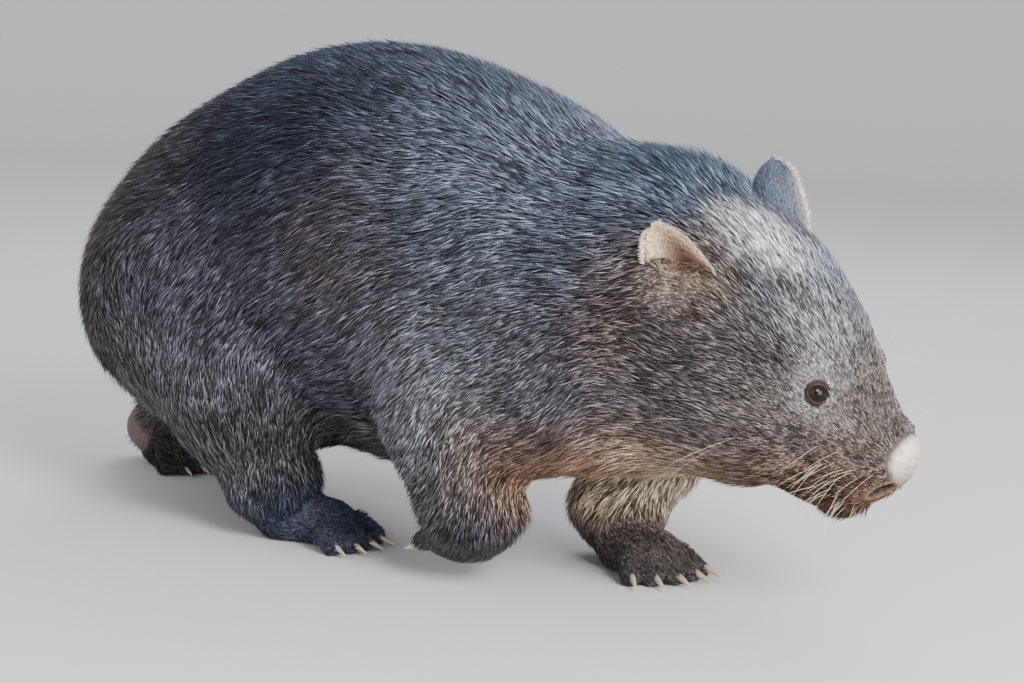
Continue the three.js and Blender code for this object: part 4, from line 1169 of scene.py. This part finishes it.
# Middle of each group on the right side of the head, its spread, how many, their lengths and their way
whisker_groups = [
    ((138, -40, -32), (26, 20), 22, (22, 46), (-0.3, -0.7, -0.62)),
    ((146, -30, -50), (16, 10), 12, (16, 32), (-0.05, -0.45, -0.88)),
    ((62, -78, -34), (22, 18), 4, (55, 76), (-0.62, -0.5, -0.6)),
    ((100, -70, 30), (8, 6), 4, (32, 48), (0.3, -0.3, 0.9)),
    ((150, -12, 12), (8, 5), 5, (18, 30), (0.55, -0.35, 0.76)),
    ((126, -14, -84), (18, 6), 7, (16, 28), (-0.35, -0.3, -0.89)),
]
random = np.random.default_rng(41)
for side, sign in (("right", 1), ("left", -1)):
    points, faces, along_values, corner_places = [], [], [], []
    for middle, spread, count, lengths, way in whisker_groups:
        for _ in range(count):
            start = np.array(middle, float) * [1, 0.3 * sign, 1]
            start += [random.normal(0, 0.5) * spread[0], 0, random.normal(0, 0.5) * spread[1]]
            on_side = middle[1] < -20 and middle[2] < 0
            out_way = [0, -sign, 0.0] if on_side else [0.5 * (middle[2] > 0), 0, np.sign(middle[2])]
            out_way = np.array(out_way) @ head_turn
            root = surface_along(skin_level, from_head(start)[None], out_way[None])[0]
            drift = random.normal(0, 0.22, 3)
            way_out = unit((np.array(way) * [1, sign, 1] + drift) @ head_turn)
            length = random.uniform(*lengths)
            if abs(skin_level(root[None])[0]) > 1:
                continue
            width_way = unit(np.cross(way_out, [0, 0, 1.0]))
            rise_way = np.cross(width_way, way_out)
            place = layout[triangle_loops[np.argmin(np.sum((middles - root) ** 2, axis=1)), 0]]
            first = len(points)
            for step in range(7):
                t = step / 6
                droop = np.array([0, 0, 0.16]) * length * t**2
                centre = root - way_out * 1.5 + way_out * length * t - droop
                thick = 0.17 * (1 - 0.8 * t)
                for n in range(3):
                    turn = 2 * pi * n / 3
                    points.append(centre + (width_way * cos(turn) + rise_way * sin(turn)) * thick)
                    along_values.append(t)
                    corner_places.append(place + 0.0015 * np.array([cos(turn), 2 * t - 1]))
            faces += [tuple(first + c for c in face) for face in grid_faces(7, 3)]
            faces += [(first + 2, first + 1, first), (first + 18, first + 19, first + 20)]
    whiskers = new_piece(f"whiskers_{side}", to_row(np.array(points)), faces, whisker_material)
    store(whiskers.data, "tuft_along", along_values)
    corners_of = np.array([c for face in faces for c in face])
    whisker_layout = np.clip(np.array(corner_places)[corners_of], 0, 1)
    whiskers.data.uv_layers.new(name="OFBake").data.foreach_set("uv", whisker_layout.ravel())
    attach(whiskers, "root")

# The floor is a wide, pale bowl round the animal, and four soft lamps light it from above and in front
floor_material, tree, shader = material("pale_floor", 0.8, 0.2)
shader.inputs["Base Color"].default_value = (0.62, 0.61, 0.59, 1)
bend = np.linspace(0, pi / 2, 9)
profile = [(0.5, 0), (2.5, 0), *zip(4.5 + 1.2 * np.sin(bend), 1.2 - 1.2 * np.cos(bend)), (5.7, 1.8)]
spokes = np.linspace(0, 2 * pi, 96, endpoint=False)
floor_points = [(r * cos(turn), r * sin(turn), z) for r, z in profile for turn in spokes]
floor_faces = [face[::-1] for face in grid_faces(len(profile), 96)] + [tuple(range(96))]
floor = new_piece("floor", floor_points, floor_faces, floor_material)

world = bpy.data.worlds.new("studio")
bpy.context.scene.world = world
world.use_nodes = True
world.node_tree.nodes["Background"].inputs["Color"].default_value = (0.86, 0.9, 1.0, 1)
world.node_tree.nodes["Background"].inputs["Strength"].default_value = 1.0
for name, place, aim, size, power, tint in (
    ("key", (2.3, -1.3, 1.6), (0.15, 0, 0.2), 1.0, 130, (1, 0.98, 0.95)),
    ("low_front", (2.6, -0.5, 0.45), (0.2, 0, 0.15), 1.4, 95, (1, 0.98, 0.95)),
    ("fill", (0.4, -2.8, 0.9), (0, 0, 0.2), 2.0, 30, (0.95, 0.97, 1)),
    ("rim", (-0.6, 1.8, 2.2), (0.1, 0, 0.25), 1.4, 35, (0.9, 0.95, 1)),
):
    light = bpy.data.lights.new(name, "AREA")
    light.size = size
    light.energy = power
    light.color = tint
    lamp = bpy.data.objects.new(name, light)
    gap = Vector(place) - Vector(aim)
    lamp.matrix_world = Matrix.Translation(place) @ gap.to_track_quat("Z", "Y").to_matrix().to_4x4()
    bpy.context.scene.collection.objects.link(lamp)
